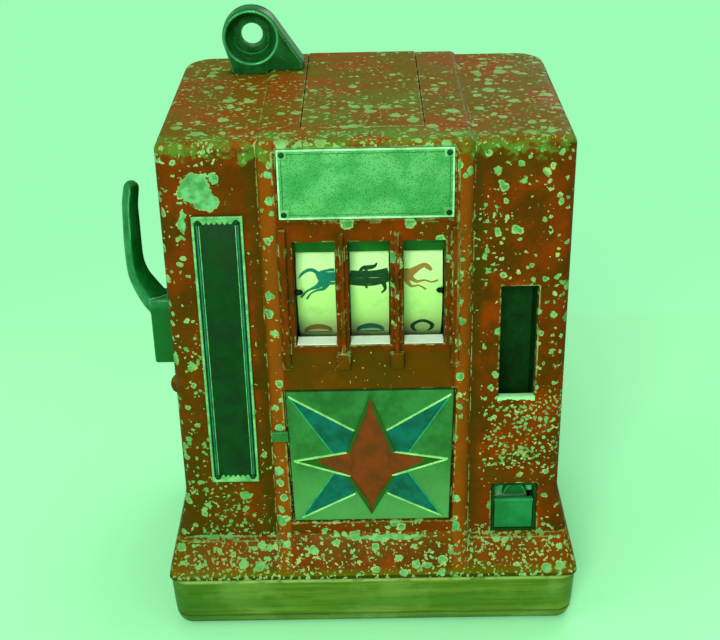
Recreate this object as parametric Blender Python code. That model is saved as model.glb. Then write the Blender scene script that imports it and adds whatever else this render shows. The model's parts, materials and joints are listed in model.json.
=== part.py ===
"""A countertop three-reel amusement machine: cast cabinet on a wooden base, with its mechanism.

Metres, +Z up. The origin is the middle of the base's underside. The front faces -Y, the back door +Y.
"""

import math

import bmesh
import bpy
from mathutils import Matrix, Vector

# Running and seating gaps
GAP = 0.0003
SLIP = 0.00035

# Cast cabinet
CASE_W = 0.222
CASE_D = 0.163
CASE_TOP = 0.308
WALL = 0.0045
SIDE_FLARE = 0.0125
FLARE_TOP = 0.090
APRON_PROUD = 0.015
APRON_TOP = 0.058
APRON_LIP_H = 0.001
APRON_LIP = 0.0035
FRONT_CORNER = 0.007
BACK_CORNER = 0.018
TOP_ROUND = 0.005
CENTRE_W = 0.1148
CENTRE_PROUD = 0.006
CENTRE_RISE = 0.002
LEDGE_TOP = 0.0635
LEDGE_LOW = 0.0598

# Wooden base
BASE_BACK_MARGIN = 0.002
BASE_H = 0.036
BASE_CORNER = 0.012
BASE_GROOVE_Z = 0.0085

# Reels and their windows
REEL_PITCH = 0.0297
REEL_X = 0.0010
REEL_CLEAR = 0.0021
PAYLINE_Z = 0.222
REEL_W = 0.022
DRUM_R = 0.054
DRUM_T = 0.0015
STRIP_T = 0.0006
HUB_R = 0.008
REEL_SHAFT_R = 0.004
RATCHET_R = 0.040
RATCHET_DEPTH = 0.005
RATCHET_T = 0.0018
RATCHET_SET = 0.0026
TOOTH_BACK = 20
TOOTH_FOOT = 24
TOOTH_NEXT = 33
SYMBOLS = 10
REEL_SIDES = 32
WINDOW_W = 0.0225
WINDOW_LOW = 0.1915
WINDOW_HIGH = 0.2535
GLASS_T = 0.0012
GLASS_LAP = 0.003
RIB_MARGIN = 0.00555
RIB_W = 0.0042
RIB_LOW = 0.177
RIB_HIGH = 0.262
RIB_PROUD = 0.0022
FIN_W = 0.0026
BLOCK_W = 0.0072
BLOCK_PROUD = 0.0008
BLOCK_DROP = 0.0045
POINTER_R = 0.0018
POINTER_LENGTH = 0.0042
POINTER_SET = 0.005

# Plates
PLATE_W = 0.0928
PLATE_LOW = 0.2672
PLATE_HIGH = 0.3062
PLATE_T = 0.0012
PLATE_SEAT = 0.001
NAME_W = 0.0276
NAME_SHIFT = 0.0043
NAME_LOW = 0.0985
NAME_HIGH = 0.2678
PIN_R = 0.0016
PIN_H = 0.0011
PIN_SHANK_R = 0.0008
PIN_DEPTH = 0.0030
AWARD_PIN_INSET = 0.0028
NAME_PIN_INSET = 0.0035

# Star panel
STAR_LOW = 0.0717
STAR_HIGH = 0.1626
STAR_TOP_W = 0.0980
STAR_BOTTOM_W = 0.0940
STAR_DEPTH = 0.003
STAR_T = 0.002
STAR_MARGIN = 0.0013
STAR_RELIEF = 0.0012
STAR_Z = 0.115
STAR_REACH = 0.0415
STAR_VALLEY = 0.0118
CLIP_Z = 0.130
CLIP_H = 0.0065
CLIP_T = 0.0021
CLIP_OUT = 0.0075
CLIP_IN = 0.0018

# Top lid
LID_LEFT = -0.0345
LID_RIGHT = 0.0320
LID_FRONT = -0.058
LID_T = 0.0026
LID_RIM = 0.006

# Coin head
HEAD_CLEAR = 0.01815
HEAD_Y = 0.049
HEAD_RISE = 0.0217
HEAD_R = 0.0176
HEAD_T = 0.013
HEAD_FOOT_LEFT = 0.012
HEAD_FOOT_RIGHT = 0.031
HEAD_FOOT_H = 0.0065
CUP_R = 0.0152
CUP_DEPTH = 0.0114
EYE_R = 0.0064
SLOT_W = 0.0198
SLOT_T = 0.0022
SLOT_SET = 0.0088
CHUTE_T = 0.001
CHUTE_SLACK = 0.0004
CHUTE_TAB_LOW = 0.200
CHUTE_TAB_HIGH = 0.212

# Token side
TOKEN_X = 0.0837
TOKEN_R = 0.0095
TOKEN_LOW = 0.1526
TOKEN_HIGH = 0.2226
TUBE_SLACK = 0.0005
TUBE_T = 0.0015
TUBE_TOP = 0.262
BED_LOW = 0.100
BED_T = 0.0035
BED_SIDE = 0.0047
BED_TAIL = 0.040
SLIDE_T = 0.0028
SLIDE_HEADROOM = 0.0012
SLIDE_TAIL = 0.038
SLIDE_OVERTRAVEL = 0.006
PAYOUT_X = 0.0850
PAYOUT_MARGIN = 0.008
PAYOUT_LOW = 0.058
PAYOUT_HIGH = 0.093
PAYOUT_CORNER = 0.002
CUP_WALL = 0.0015
CUP_SET = 0.0012
CUP_REACH = 0.0215
FLAP_Z = 0.0790
FLAP_T = 0.0012
FLAP_BARREL_R = 0.0022
FLAP_PIN_R = 0.0009

# Lever and its drive
LEVER_Y = -0.035
LEVER_Z = 0.170
LEVER_SHAFT_R = 0.006
LEVER_SLAB_T = 0.015
LEVER_SLAB_D = 0.017
LEVER_SLAB_LOW = 0.1611
LEVER_SLAB_HIGH = 0.2030
LEVER_CLEAR = 0.0004
LEVER_SOCKET_FLOOR = 0.004
GRIP_HALF_X = 0.0051
GRIP_HALF_Y = 0.0066
BUSH_T = 0.002
BUSH_FLANGE = 0.0025
SIDE_BOLT_Y = -0.055
SIDE_BOLT_Z = 0.154
SIDE_BOLT_R = 0.0055
SIDE_BOLT_SHANK_R = 0.003
SIDE_BOLT_PROUD = 0.0053
CRANK_R = 0.020
CRANK_ANGLE = math.radians(240)
CRANK_T = 0.003
CRANK_CLEAR = 0.01345
CRANK_BOSS = 0.0035
LINK_T = 0.0024
LINK_CLEAR = 0.0004
LINK_HALF = 0.0042
LINK_PIN_R = 0.002
LINK_PIN_PROUD = 0.0014
SPRING_WIRE_R = 0.0009
SPRING_TURNS = 5
SPRING_PITCH = 0.0044
SPRING_STEPS = 10
KICKER_Y = 0.035
KICKER_Z = 0.160
KICKER_R = 0.004
KICKER_BOSS = 0.002
FINGER_LENGTH = 0.0345
FINGER_HALF = 0.002
FINGER_T = 0.002
FINGER_ANGLE = math.radians(62.2)

# Frames
FRAME_T = 0.002
FRAME_SIDE_GAP = 0.0025
FRAME_FRONT = -0.060
FRAME_BACK = 0.070
FRAME_TOP = 0.255
FRAME_CHAMFER = 0.020
FRAME_FLANGE = 0.012
FLANGE_T = 0.0016
MECH_T = 0.002
ROD_R = 0.0025
ROD_Z = 0.060
ROD_INSET = 0.015
ROD_END = 0.0025
STOP_SHAFT_R = 0.003
STOP_Y = 0.060
STOP_SLEEVE_R = 0.0055
STOP_CLEAR = 0.001
STOP_ARM_T = 0.002

# Back door
DOOR_LEFT_SET = 0.0045
DOOR_W = 0.1785
DOOR_LOW = 0.041
DOOR_TOP_SET = 0.008
DOOR_T = 0.0015
DOOR_GAP = 0.0004
DOOR_LAP = 0.004
DOOR_OPENING_W = 0.172
HINGE_X = -0.093
HINGE_PIN_R = 0.0012
KNUCKLE_R = 0.0028
KNUCKLE_H = 0.014
KNUCKLE_GAP = 0.0005
BARREL_H = 0.050
LOCK_X = 0.072
LOCK_Z = 0.172
LOCK_R = 0.0077
LOCK_HEAD_R = 0.010
LOCK_DEPTH = 0.0065
PLUG_R = 0.004
CAM_LENGTH = 0.026
CAM_HALF = 0.0045
CAM_T = 0.0018

# Cash box
CASH_CLEAR = 0.00595
CASH_SIDE_CLEAR = 0.0075
CASH_FRONT = 0.022
CASH_D = 0.056
CASH_H = 0.056
CASH_T = 0.0012

# Worked out from the sizes above
BASE_W = CASE_W + 2 * SIDE_FLARE
BASE_D = CASE_D + APRON_PROUD + BASE_BACK_MARGIN
CASE_BACK = BASE_D / 2 - BASE_BACK_MARGIN
COLUMN_FRONT = CASE_BACK - CASE_D
CENTRE_FRONT = COLUMN_FRONT - CENTRE_PROUD
CENTRE_TOP = CASE_TOP + CENTRE_RISE
INNER_FRONT = COLUMN_FRONT + WALL
INNER_BACK = CASE_BACK - WALL
INNER_SIDE = CASE_W / 2 - WALL
COLUMN_X = (CASE_W + CENTRE_W) / 4
NAME_X = -COLUMN_X + NAME_SHIFT
CASE_BOTTOM = BASE_H + GAP
MECH_LOW = BASE_H + GAP
MECH_TOP = MECH_LOW + MECH_T
REEL_XS = [REEL_X + (i - 1) * REEL_PITCH for i in range(3)]
REEL_Y = INNER_FRONT + GAP + GLASS_T + REEL_CLEAR + STRIP_T + GAP + DRUM_R
RIB_X = REEL_PITCH + WINDOW_W / 2 + RIB_MARGIN
HUB_BACK = REEL_PITCH / 2 - 0.0001
HUB_FORE = REEL_PITCH / 2 - SLIP
FRAME_X = REEL_PITCH * 1.5 + FRAME_SIDE_GAP
FRAME_OUT = FRAME_X + FRAME_T
CRANK_X = -FRAME_OUT - CRANK_CLEAR
HEAD_X = -FRAME_OUT - HEAD_CLEAR
HEAD_Z = CASE_TOP + HEAD_RISE
CASH_LEFT = -INNER_SIDE + CASH_SIDE_CLEAR
CASH_W = -FRAME_OUT - CASH_CLEAR - CASH_LEFT
TOKEN_WINDOW_W = 2 * (TOKEN_R + 0.0006)
SLIDE_TRAVEL = 2 * TOKEN_R + SLIDE_OVERTRAVEL
PAYOUT_W = 2 * TOKEN_R + PAYOUT_MARGIN
DOOR_HIGH = CASE_TOP - DOOR_TOP_SET
DOOR_OPENING_HIGH = DOOR_HIGH - DOOR_LAP
HINGE_Y = CASE_BACK + KNUCKLE_R + 2 * SLIP
DOOR_FRONT = CASE_BACK + DOOR_GAP
SECTION_SIDES = 16
BEYOND = 0.01


# ---- Shapes ------------------------------------------------------------------------------------

def material(name, colour, roughness, metallic=0.0):
    """A Principled material, made once for each name."""
    found = bpy.data.materials.get(name)
    if found:
        return found
    made = bpy.data.materials.new(name)
    made.use_nodes = True
    shader = made.node_tree.nodes["Principled BSDF"]
    shader.inputs["Base Color"].default_value = (*colour, 1)
    shader.inputs["Roughness"].default_value = roughness
    shader.inputs["Metallic"].default_value = metallic
    return made


def paint():
    return material("red_paint", (0.30, 0.10, 0.012), 0.45)


def steel():
    return material("steel", (0.20, 0.36, 0.22), 0.35, 0.9)


def dark_iron():
    return material("dark_iron", (0.03, 0.16, 0.06), 0.4, 0.6)


def bare_metal():
    return material("bare_metal", (0.28, 0.52, 0.28), 0.4, 0.8)


def add_object(name, bm, look, origin=(0, 0, 0)):
    """An object from a bmesh in world space, with its own origin at the point given."""
    bmesh.ops.recalc_face_normals(bm, faces=bm.faces[:])
    mesh = bpy.data.meshes.new(name)
    bm.to_mesh(mesh)
    bm.free()
    mesh.transform(Matrix.Translation(-Vector(origin)))
    made = bpy.data.objects.new(name, mesh)
    made.location = origin
    mesh.materials.append(look)
    mesh.shade_smooth()
    mesh.set_sharp_from_angle(angle=math.radians(32))
    bpy.context.scene.collection.objects.link(made)
    return made


def box_mesh(low, high):
    bm = bmesh.new()
    bmesh.ops.create_cube(bm, size=1)
    for vert in bm.verts:
        vert.co = [low[i] if vert.co[i] < 0 else high[i] for i in range(3)]
    return bm


def along(axis, u, v, w):
    """The point with u and v across the axis and w along it."""
    return {"X": (w, u, v), "Y": (u, w, v), "Z": (u, v, w)}[axis]


def prism_mesh(outline, axis, low, high):
    """An outline pulled along an axis: (y, z) points for X, (x, z) for Y and (x, y) for Z."""
    bm = bmesh.new()
    verts = [bm.verts.new(along(axis, u, v, low)) for u, v in outline]
    face = bm.faces.new(verts)
    pulled = bmesh.ops.extrude_face_region(bm, geom=[face])["geom"]
    shift = along(axis, 0, 0, high - low)
    moved = [item for item in pulled if isinstance(item, bmesh.types.BMVert)]
    bmesh.ops.translate(bm, vec=shift, verts=moved)
    return bm


def loft_mesh(rings):
    """A closed skin through rings of equally many points, capped at both ends."""
    bm = bmesh.new()
    loops = [[bm.verts.new(point) for point in ring] for ring in rings]
    for lower, upper in zip(loops, loops[1:]):
        for i in range(len(lower)):
            j = (i + 1) % len(lower)
            bm.faces.new((lower[i], lower[j], upper[j], upper[i]))
    bm.faces.new(loops[0][::-1])
    bm.faces.new(loops[-1])
    return bm


def turned_mesh(profile, axis, centre, sides):
    """A closed profile of (along, radius) points turned round an axis through the centre given."""
    bm = bmesh.new()
    u0, v0 = centre
    loops = []
    for side in range(sides):
        turn = 2 * math.pi * side / sides
        cos, sin = math.cos(turn), math.sin(turn)
        loops.append([bm.verts.new(along(axis, u0 + r * cos, v0 + r * sin, w)) for w, r in profile])
    for side in range(sides):
        here, there = loops[side], loops[(side + 1) % sides]
        for i in range(len(profile)):
            j = (i + 1) % len(profile)
            bm.faces.new((here[i], here[j], there[j], there[i]))
    return bm


def circle(u0, v0, radius, sides=SECTION_SIDES):
    turns = [2 * math.pi * i / sides for i in range(sides)]
    return [(u0 + radius * math.cos(t), v0 + radius * math.sin(t)) for t in turns]


def arc(u0, v0, radius, start, stop, steps):
    """Points along an arc, angles in degrees."""
    turns = [math.radians(start + (stop - start) * i / steps) for i in range(steps + 1)]
    return [(u0 + radius * math.cos(t), v0 + radius * math.sin(t)) for t in turns]


def rod_mesh(axis, centre, radius, low, high, sides=SECTION_SIDES):
    return prism_mesh(circle(*centre, radius, sides), axis, low, high)


def shape(target, bm, operation, label):
    """Adds a Boolean to the target, with its tool kept as a hidden helper."""
    helper = add_object(f"{target.name}_{label}", bm, target.data.materials[0])
    helper.hide_render = True
    helper.display_type = "WIRE"
    step = target.modifiers.new(label, "BOOLEAN")
    step.operation = operation
    step.object = helper
    step.solver = "EXACT"
    return target


def soften(target, width):
    """Rounds the edges of what the object is so far."""
    edge = target.modifiers.new("edge", "BEVEL")
    edge.width = width
    edge.segments = 2
    return edge


def cut(target, bm, label):
    return shape(target, bm, "DIFFERENCE", label)


def join(target, bm, label):
    return shape(target, bm, "UNION", label)


# ---- Cabinet and base --------------------------------------------------------------------------

def section(half_w, front, back, front_r, back_r, z):
    """A rounded rectangle in plan at one height."""
    points = arc(half_w - front_r, front + front_r, front_r, -90, 0, 4)
    points += arc(half_w - back_r, back - back_r, back_r, 0, 90, 5)
    points += arc(-half_w + back_r, back - back_r, back_r, 90, 180, 5)
    points += arc(-half_w + front_r, front + front_r, front_r, 180, 270, 4)
    return [(x, y, z) for x, y in points]


def share_between(z, low, high):
    """0 at low, 1 at high and beyond."""
    return min(1, max(0, (z - low) / (high - low)))


def side_flare(z):
    return SIDE_FLARE * share_between(-z, -FLARE_TOP, -CASE_BOTTOM - 0.002) ** 1.2


def apron(z, lip_z, lip):
    """How far the apron stands out at a height: the lip at its top, then a slope to the foot."""
    if z > lip_z:
        return 0
    return lip + (APRON_PROUD - lip) * share_between(-z, -lip_z, -CASE_BOTTOM)


def column_rings():
    rings = []
    lip_z = APRON_TOP - APRON_LIP_H
    skirt = [CASE_BOTTOM, CASE_BOTTOM + 0.010, lip_z, APRON_TOP, 0.067, 0.074, 0.082, FLARE_TOP]
    for z in skirt:
        front = COLUMN_FRONT - apron(z, lip_z, APRON_LIP)
        half = CASE_W / 2 + side_flare(z)
        rings.append(section(half, front, CASE_BACK, FRONT_CORNER, BACK_CORNER, z))
    for degrees in (0, 30, 60, 90):
        turn = math.radians(degrees)
        inset = TOP_ROUND * (1 - math.cos(turn))
        z = CASE_TOP - TOP_ROUND * (1 - math.sin(turn))
        rings.append(section(CASE_W / 2 - inset, COLUMN_FRONT + inset, CASE_BACK - inset,
                             FRONT_CORNER - inset, BACK_CORNER - inset, z))
    return rings


def centre_rings():
    """The raised middle of the front, which runs over the top to the back."""
    rings = []
    shoulder = CENTRE_PROUD + 0.001
    back = CASE_BACK - 0.001
    low = CASE_BOTTOM + 0.001
    lip = CENTRE_PROUD + APRON_LIP
    fronts = ((low, COLUMN_FRONT - apron(low, LEDGE_LOW, lip) + 0.0004), (LEDGE_LOW, COLUMN_FRONT - lip),
              (LEDGE_TOP, CENTRE_FRONT - 0.0002), (LEDGE_TOP + 0.0005, CENTRE_FRONT))
    for z, front in fronts:
        rings.append(section(CENTRE_W / 2, front, back, shoulder, 0.004, z))
    round_r = TOP_ROUND - 0.001
    for degrees in (0, 30, 60, 88):
        turn = math.radians(degrees)
        inset = round_r * (1 - math.cos(turn))
        z = CENTRE_TOP - round_r * (1 - math.sin(turn))
        rings.append(section(CENTRE_W / 2 - inset, CENTRE_FRONT + inset, back - inset,
                             shoulder - inset, 0.0041 - inset, z))
    return rings


def cut_cavity(case):
    inner = [(x, y) for x, y, _ in section(INNER_SIDE, INNER_FRONT, INNER_BACK, 0.003,
                                           BACK_CORNER - WALL, 0)]
    cut(case, prism_mesh(inner, "Z", 0, CASE_TOP - WALL), "cavity")
    top = APRON_TOP - APRON_LIP_H - WALL - 0.002
    slope_wall = WALL * 1.2
    foot_front = COLUMN_FRONT - APRON_PROUD + slope_wall
    top_front = COLUMN_FRONT - apron(top, APRON_TOP - APRON_LIP_H, APRON_LIP) + slope_wall
    back = INNER_BACK - 0.0135
    hollow = [(foot_front, 0), (foot_front, CASE_BOTTOM), (top_front, top), (back, top), (back, 0)]
    half = BASE_W / 2 - 2 * WALL
    cut(case, prism_mesh(hollow, "X", -half, half), "skirt")
    half = DOOR_OPENING_W / 2
    cut(case, box_mesh((-half, INNER_BACK - BEYOND, 0.002), (half, CASE_BACK + BEYOND, DOOR_OPENING_HIGH)),
        "door_opening")


def star_outline(gap):
    """The four corners of the star panel, or of its recess with no gap."""
    top = STAR_TOP_W / 2 - gap
    bottom = STAR_BOTTOM_W / 2 - gap
    low, high = STAR_LOW + gap, STAR_HIGH - gap
    return [(-bottom, low), (bottom, low), (top, high), (-top, high)]


def payout_outline(gap):
    """The payout opening: square at the foot, with two rounded upper corners."""
    left, right = PAYOUT_X - PAYOUT_W / 2 + gap, PAYOUT_X + PAYOUT_W / 2 - gap
    low, high = PAYOUT_LOW + gap, PAYOUT_HIGH - gap
    r = PAYOUT_CORNER
    return ([(left, low), (right, low)] + arc(right - r, high - r, r, 0, 90, 3)
            + arc(left + r, high - r, r, 90, 180, 3))


def cut_front(case):
    ahead = CENTRE_FRONT - 0.02
    inside = INNER_FRONT + BEYOND
    half = WINDOW_W / 2
    for i, x in enumerate(REEL_XS):
        cut(case, box_mesh((x - half, ahead, WINDOW_LOW), (x + half, inside, WINDOW_HIGH)), f"window_{i + 1}")
    half = TOKEN_WINDOW_W / 2
    cut(case, box_mesh((TOKEN_X - half, ahead, TOKEN_LOW), (TOKEN_X + half, inside, TOKEN_HIGH)),
        "token_window")
    cut(case, prism_mesh(payout_outline(0), "Y", ahead, inside), "payout")
    cut(case, prism_mesh(star_outline(0), "Y", ahead, CENTRE_FRONT + STAR_DEPTH), "star_recess")
    half = PLATE_W / 2 + GAP
    cut(case, box_mesh((-half, ahead, PLATE_LOW - GAP), (half, CENTRE_FRONT + PLATE_SEAT, PLATE_HIGH + GAP)),
        "plate_seat")
    hole_r = PIN_SHANK_R + GAP
    for i, (x, z) in enumerate(award_pin_places()):
        depth = CENTRE_FRONT + PLATE_SEAT + PIN_DEPTH + GAP
        cut(case, rod_mesh("Y", (x, z), hole_r, ahead, depth, 8), f"award_hole_{i + 1}")
    for i, (x, z) in enumerate(name_pin_places()):
        depth = COLUMN_FRONT + PIN_DEPTH + GAP
        cut(case, rod_mesh("Y", (x, z), hole_r, ahead, depth, 8), f"name_hole_{i + 1}")


def cut_top_and_side(case):
    cut(case, box_mesh((LID_LEFT, LID_FRONT, CENTRE_TOP - LID_T - GAP),
                       (LID_RIGHT, CASE_BACK + BEYOND, CENTRE_TOP + BEYOND)), "lid_seat")
    cut(case, box_mesh((LID_LEFT + LID_RIM, LID_FRONT + LID_RIM, CASE_TOP - WALL - BEYOND),
                       (LID_RIGHT - LID_RIM, INNER_BACK - 0.0095, CENTRE_TOP + BEYOND)), "lid_opening")
    cut(case, slot_mesh(CASE_TOP - WALL - BEYOND, CASE_TOP + BEYOND), "coin_slot")
    for label, y, z, r in (("bush_hole", LEVER_Y, LEVER_Z, bush_radius() + SLIP),
                           ("side_bolt_hole", SIDE_BOLT_Y, SIDE_BOLT_Z, SIDE_BOLT_SHANK_R + GAP)):
        cut(case, rod_mesh("X", (y, z), r, -CASE_W / 2 - BEYOND, -INNER_SIDE + BEYOND), label)


def add_ribs(case):
    """Raised window frame: two outer ribs, and two mullion fins that stand on square blocks."""
    back = CENTRE_FRONT + 0.001
    front = CENTRE_FRONT - RIB_PROUD
    for label, x in (("rib_left", REEL_X - RIB_X), ("rib_right", REEL_X + RIB_X)):
        join(case, box_mesh((x - RIB_W / 2, front, RIB_LOW), (x + RIB_W / 2, back, RIB_HIGH)), label)
    for i in (0, 1):
        x = (REEL_XS[i] + REEL_XS[i + 1]) / 2
        join(case, box_mesh((x - FIN_W / 2, front, RIB_LOW + 0.004), (x + FIN_W / 2, back, RIB_HIGH - 0.003)),
             f"fin_{i + 1}")
        join(case, box_mesh((x - BLOCK_W / 2, front - BLOCK_PROUD, RIB_LOW),
                            (x + BLOCK_W / 2, back, WINDOW_LOW - BLOCK_DROP)), f"block_{i + 1}")


def add_case_knuckles(case):
    for i, (low, high) in enumerate(case_knuckles()):
        block = box_mesh((HINGE_X - KNUCKLE_R, CASE_BACK - 0.0015, low), (HINGE_X + KNUCKLE_R, HINGE_Y, high))
        join(case, block, f"hinge_block_{i + 1}")
        join(case, rod_mesh("Z", (HINGE_X, HINGE_Y), KNUCKLE_R, low, high), f"hinge_barrel_{i + 1}")
        cut(case, rod_mesh("Z", (HINGE_X, HINGE_Y), HINGE_PIN_R + SLIP, low - 0.001, high + 0.001, 10),
            f"hinge_bore_{i + 1}")


def cabinet():
    case = add_object("cabinet_shell", loft_mesh(column_rings()), paint())
    join(case, loft_mesh(centre_rings()), "centre")
    cut_cavity(case)
    add_ribs(case)
    cut_front(case)
    cut_top_and_side(case)
    add_case_knuckles(case)


def wood_base():
    look = material("varnished_wood", (0.10, 0.16, 0.012), 0.35)
    groove = 0.0008
    heights_and_insets = ((0, 0.0075), (0.0012, 0.0052), (0.004, 0.0030), (BASE_GROOVE_Z - groove, 0.0018),
                          (BASE_GROOVE_Z, 0.0028), (BASE_GROOVE_Z + groove, 0.0016), (BASE_H - 0.001, 0.0003),
                          (BASE_H, 0.001))
    rings = []
    for z, inset in heights_and_insets:
        rings.append(section(BASE_W / 2 - inset, -BASE_D / 2 + inset, BASE_D / 2 - inset,
                             BASE_CORNER - inset, BASE_CORNER - inset, z))
    add_object("wood_base", loft_mesh(rings), look)


def top_lid():
    low = (LID_LEFT + GAP, LID_FRONT + GAP, CENTRE_TOP - LID_T)
    high = (LID_RIGHT - GAP, CASE_BACK - 0.002, CENTRE_TOP)
    soften(add_object("top_lid", box_mesh(low, high), paint()), 0.0006)


# ---- Plates, panel and glass -------------------------------------------------------------------

def corners_of(centre_x, width, low, high, inset):
    half = width / 2 - inset
    return [(centre_x + side * half, z) for side in (-1, 1) for z in (low + inset, high - inset)]


def award_pin_places():
    return corners_of(0, PLATE_W, PLATE_LOW, PLATE_HIGH, AWARD_PIN_INSET)


def name_pin_places():
    return corners_of(NAME_X, NAME_W, NAME_LOW, NAME_HIGH, NAME_PIN_INSET)


def drive_pin(name, x, z, face):
    """A round-headed drive pin whose head sits on a plate's face that looks to -Y."""
    profile = ((-PIN_H, PIN_SHANK_R * 0.25), (-PIN_H * 0.8, PIN_R * 0.6), (-GAP, PIN_R), (-GAP, PIN_SHANK_R),
               (PLATE_T + PIN_DEPTH, PIN_SHANK_R))
    rings = [[(px, face + w, pz) for px, pz in circle(x, z, r, 8)] for w, r in profile]
    add_object(name, loft_mesh(rings), dark_iron())


def pinned_plate(name, pin_name, centre_x, size, seat, places):
    """A flat plate on a seat, with a pin through each corner; size is its width, low and high."""
    width, low, high = size
    back = seat - GAP
    front = back - PLATE_T
    left, right = centre_x - width / 2, centre_x + width / 2
    plate = add_object(name, box_mesh((left, front, low), (right, back, high)), bare_metal())
    hole_r = PIN_SHANK_R + GAP
    for i, (x, z) in enumerate(places):
        cut(plate, rod_mesh("Y", (x, z), hole_r, front - BEYOND, back + BEYOND, 8), f"hole_{i + 1}")
        drive_pin(f"{pin_name}_{i + 1}", x, z, front)


def award_plate():
    pinned_plate("award_plate", "award_pin", 0, (PLATE_W, PLATE_LOW, PLATE_HIGH), CENTRE_FRONT + PLATE_SEAT,
                 award_pin_places())


def name_plate():
    pinned_plate("name_plate", "name_pin", NAME_X, (NAME_W, NAME_LOW, NAME_HIGH), COLUMN_FRONT,
                 name_pin_places())


def star_panel():
    back = CENTRE_FRONT + STAR_DEPTH - GAP
    front = back - STAR_T
    panel = add_object("star_panel", prism_mesh(star_outline(STAR_MARGIN), "Y", front, back), bare_metal())
    points = []
    for i in range(8):
        reach = STAR_REACH if i % 2 == 0 else STAR_VALLEY * math.sqrt(2)
        turn = math.radians(45 * i)
        points.append((reach * math.cos(turn), STAR_Z + reach * math.sin(turn)))
    join(panel, prism_mesh(points, "Y", front - STAR_RELIEF, front + STAR_RELIEF), "star")


def panel_clip():
    edge = -STAR_TOP_W / 2
    back = CENTRE_FRONT - GAP
    clip = add_object("panel_clip", box_mesh((edge - CLIP_OUT, back - CLIP_T, CLIP_Z),
                                             (edge + CLIP_IN, back, CLIP_Z + CLIP_H)), bare_metal())
    soften(clip, 0.0005)


def window_glass():
    look = material("window_glass", (0.6, 0.8, 0.6), 0.05)
    reach = WINDOW_W / 2 + GLASS_LAP
    front = INNER_FRONT + GAP
    add_object("window_glass", box_mesh((REEL_XS[0] - reach, front, WINDOW_LOW - GLASS_LAP),
                                        (REEL_XS[2] + reach, front + GLASS_T, WINDOW_HIGH + GLASS_LAP)), look)


def pointers():
    """Payline pointers, standing in from the outer sides of the outer windows."""
    look = material("black_bead", (0.01, 0.03, 0.01), 0.3)
    reach = WINDOW_W / 2 - GAP
    seats = (("pointer_left", REEL_XS[0] - reach, 1), ("pointer_right", REEL_XS[2] + reach, -1))
    for name, seat, way in seats:
        rings = []
        for share, r in ((0, 1.0), (0.45, 1.0), (0.8, 0.7), (1, 0.25)):
            x = seat + way * POINTER_LENGTH * share
            section_points = circle(CENTRE_FRONT + POINTER_SET, PAYLINE_Z, POINTER_R * r, 10)
            rings.append([(x, y, z) for y, z in section_points])
        add_object(name, loft_mesh(rings), look)


# ---- Coin head, chute and cash box -------------------------------------------------------------

def slot_mesh(low, high):
    y = HEAD_Y + SLOT_SET
    return box_mesh((HEAD_X - SLOT_W / 2, y, low), (HEAD_X + SLOT_W / 2, y + SLOT_T, high))


def tangent_angle(u, v, side):
    """Angle at which a line from (u, v) touches the head's circle, on its right (side 1) or left (-1)."""
    du, dv = u - HEAD_X, v - HEAD_Z
    return math.degrees(math.atan2(dv, du) + side * math.acos(HEAD_R / math.hypot(du, dv)))


def head_outline():
    """A disc on a foot that steps up onto the cabinet's raised middle."""
    left, right = HEAD_X - HEAD_FOOT_LEFT, HEAD_X + HEAD_FOOT_RIGHT
    foot = CASE_TOP + GAP
    step = foot + CENTRE_RISE
    shoulder = foot + HEAD_FOOT_H
    toe = foot + 0.001
    start = tangent_angle(right, shoulder, 1)
    stop = tangent_angle(left, toe, -1) + 360
    while stop - start > 360:
        stop -= 360
    edge = -CENTRE_W / 2 - GAP
    points = [(left, foot), (edge, foot), (edge, step), (right, step), (right, shoulder)]
    return points + arc(HEAD_X, HEAD_Z, HEAD_R, start, stop, 22) + [(left, toe)]


def coin_head():
    back = HEAD_Y + HEAD_T
    head = add_object("coin_head", prism_mesh(head_outline(), "Y", HEAD_Y, back), dark_iron())
    edge = soften(head, 0.0012)
    edge.limit_method = "ANGLE"
    edge.angle_limit = math.radians(50)
    depths_and_radii = ((-0.002, CUP_R + 0.0003), (0, CUP_R), (CUP_DEPTH * 0.4, CUP_R - 0.0008),
                        (CUP_DEPTH * 0.8, CUP_R - 0.0036), (CUP_DEPTH, EYE_R + 0.0014))
    cup = [[(x, HEAD_Y + depth, z) for x, z in circle(HEAD_X, HEAD_Z, r, 24)]
           for depth, r in depths_and_radii]
    cut(head, loft_mesh(cup), "cup")
    cut(head, rod_mesh("Y", (HEAD_X, HEAD_Z), EYE_R, HEAD_Y, back + BEYOND, 20), "eye")
    cut(head, slot_mesh(CASE_TOP - BEYOND, HEAD_Z + HEAD_R + BEYOND), "slot")


def coin_chute():
    """A flat tube that takes the coin from the slot down to the cash box, with a tab to the left frame."""
    top = CASE_TOP - WALL - GAP
    low = MECH_TOP + CASH_H + 0.008
    y = HEAD_Y + SLOT_SET
    wide = SLOT_W / 2 + CHUTE_SLACK
    front, back = y - CHUTE_SLACK, y + SLOT_T + CHUTE_SLACK
    outer_low = (HEAD_X - wide - CHUTE_T, front - CHUTE_T, low)
    outer_high = (HEAD_X + wide + CHUTE_T, back + CHUTE_T, top)
    chute = add_object("coin_chute", box_mesh(outer_low, outer_high), steel())
    cut(chute, box_mesh((HEAD_X - wide, front, low - BEYOND), (HEAD_X + wide, back, top + BEYOND)), "bore")
    join(chute, box_mesh((outer_high[0] - CHUTE_T / 2, outer_low[1], CHUTE_TAB_LOW),
                         (-FRAME_OUT - GAP, outer_high[1], CHUTE_TAB_HIGH)), "tab")


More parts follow.
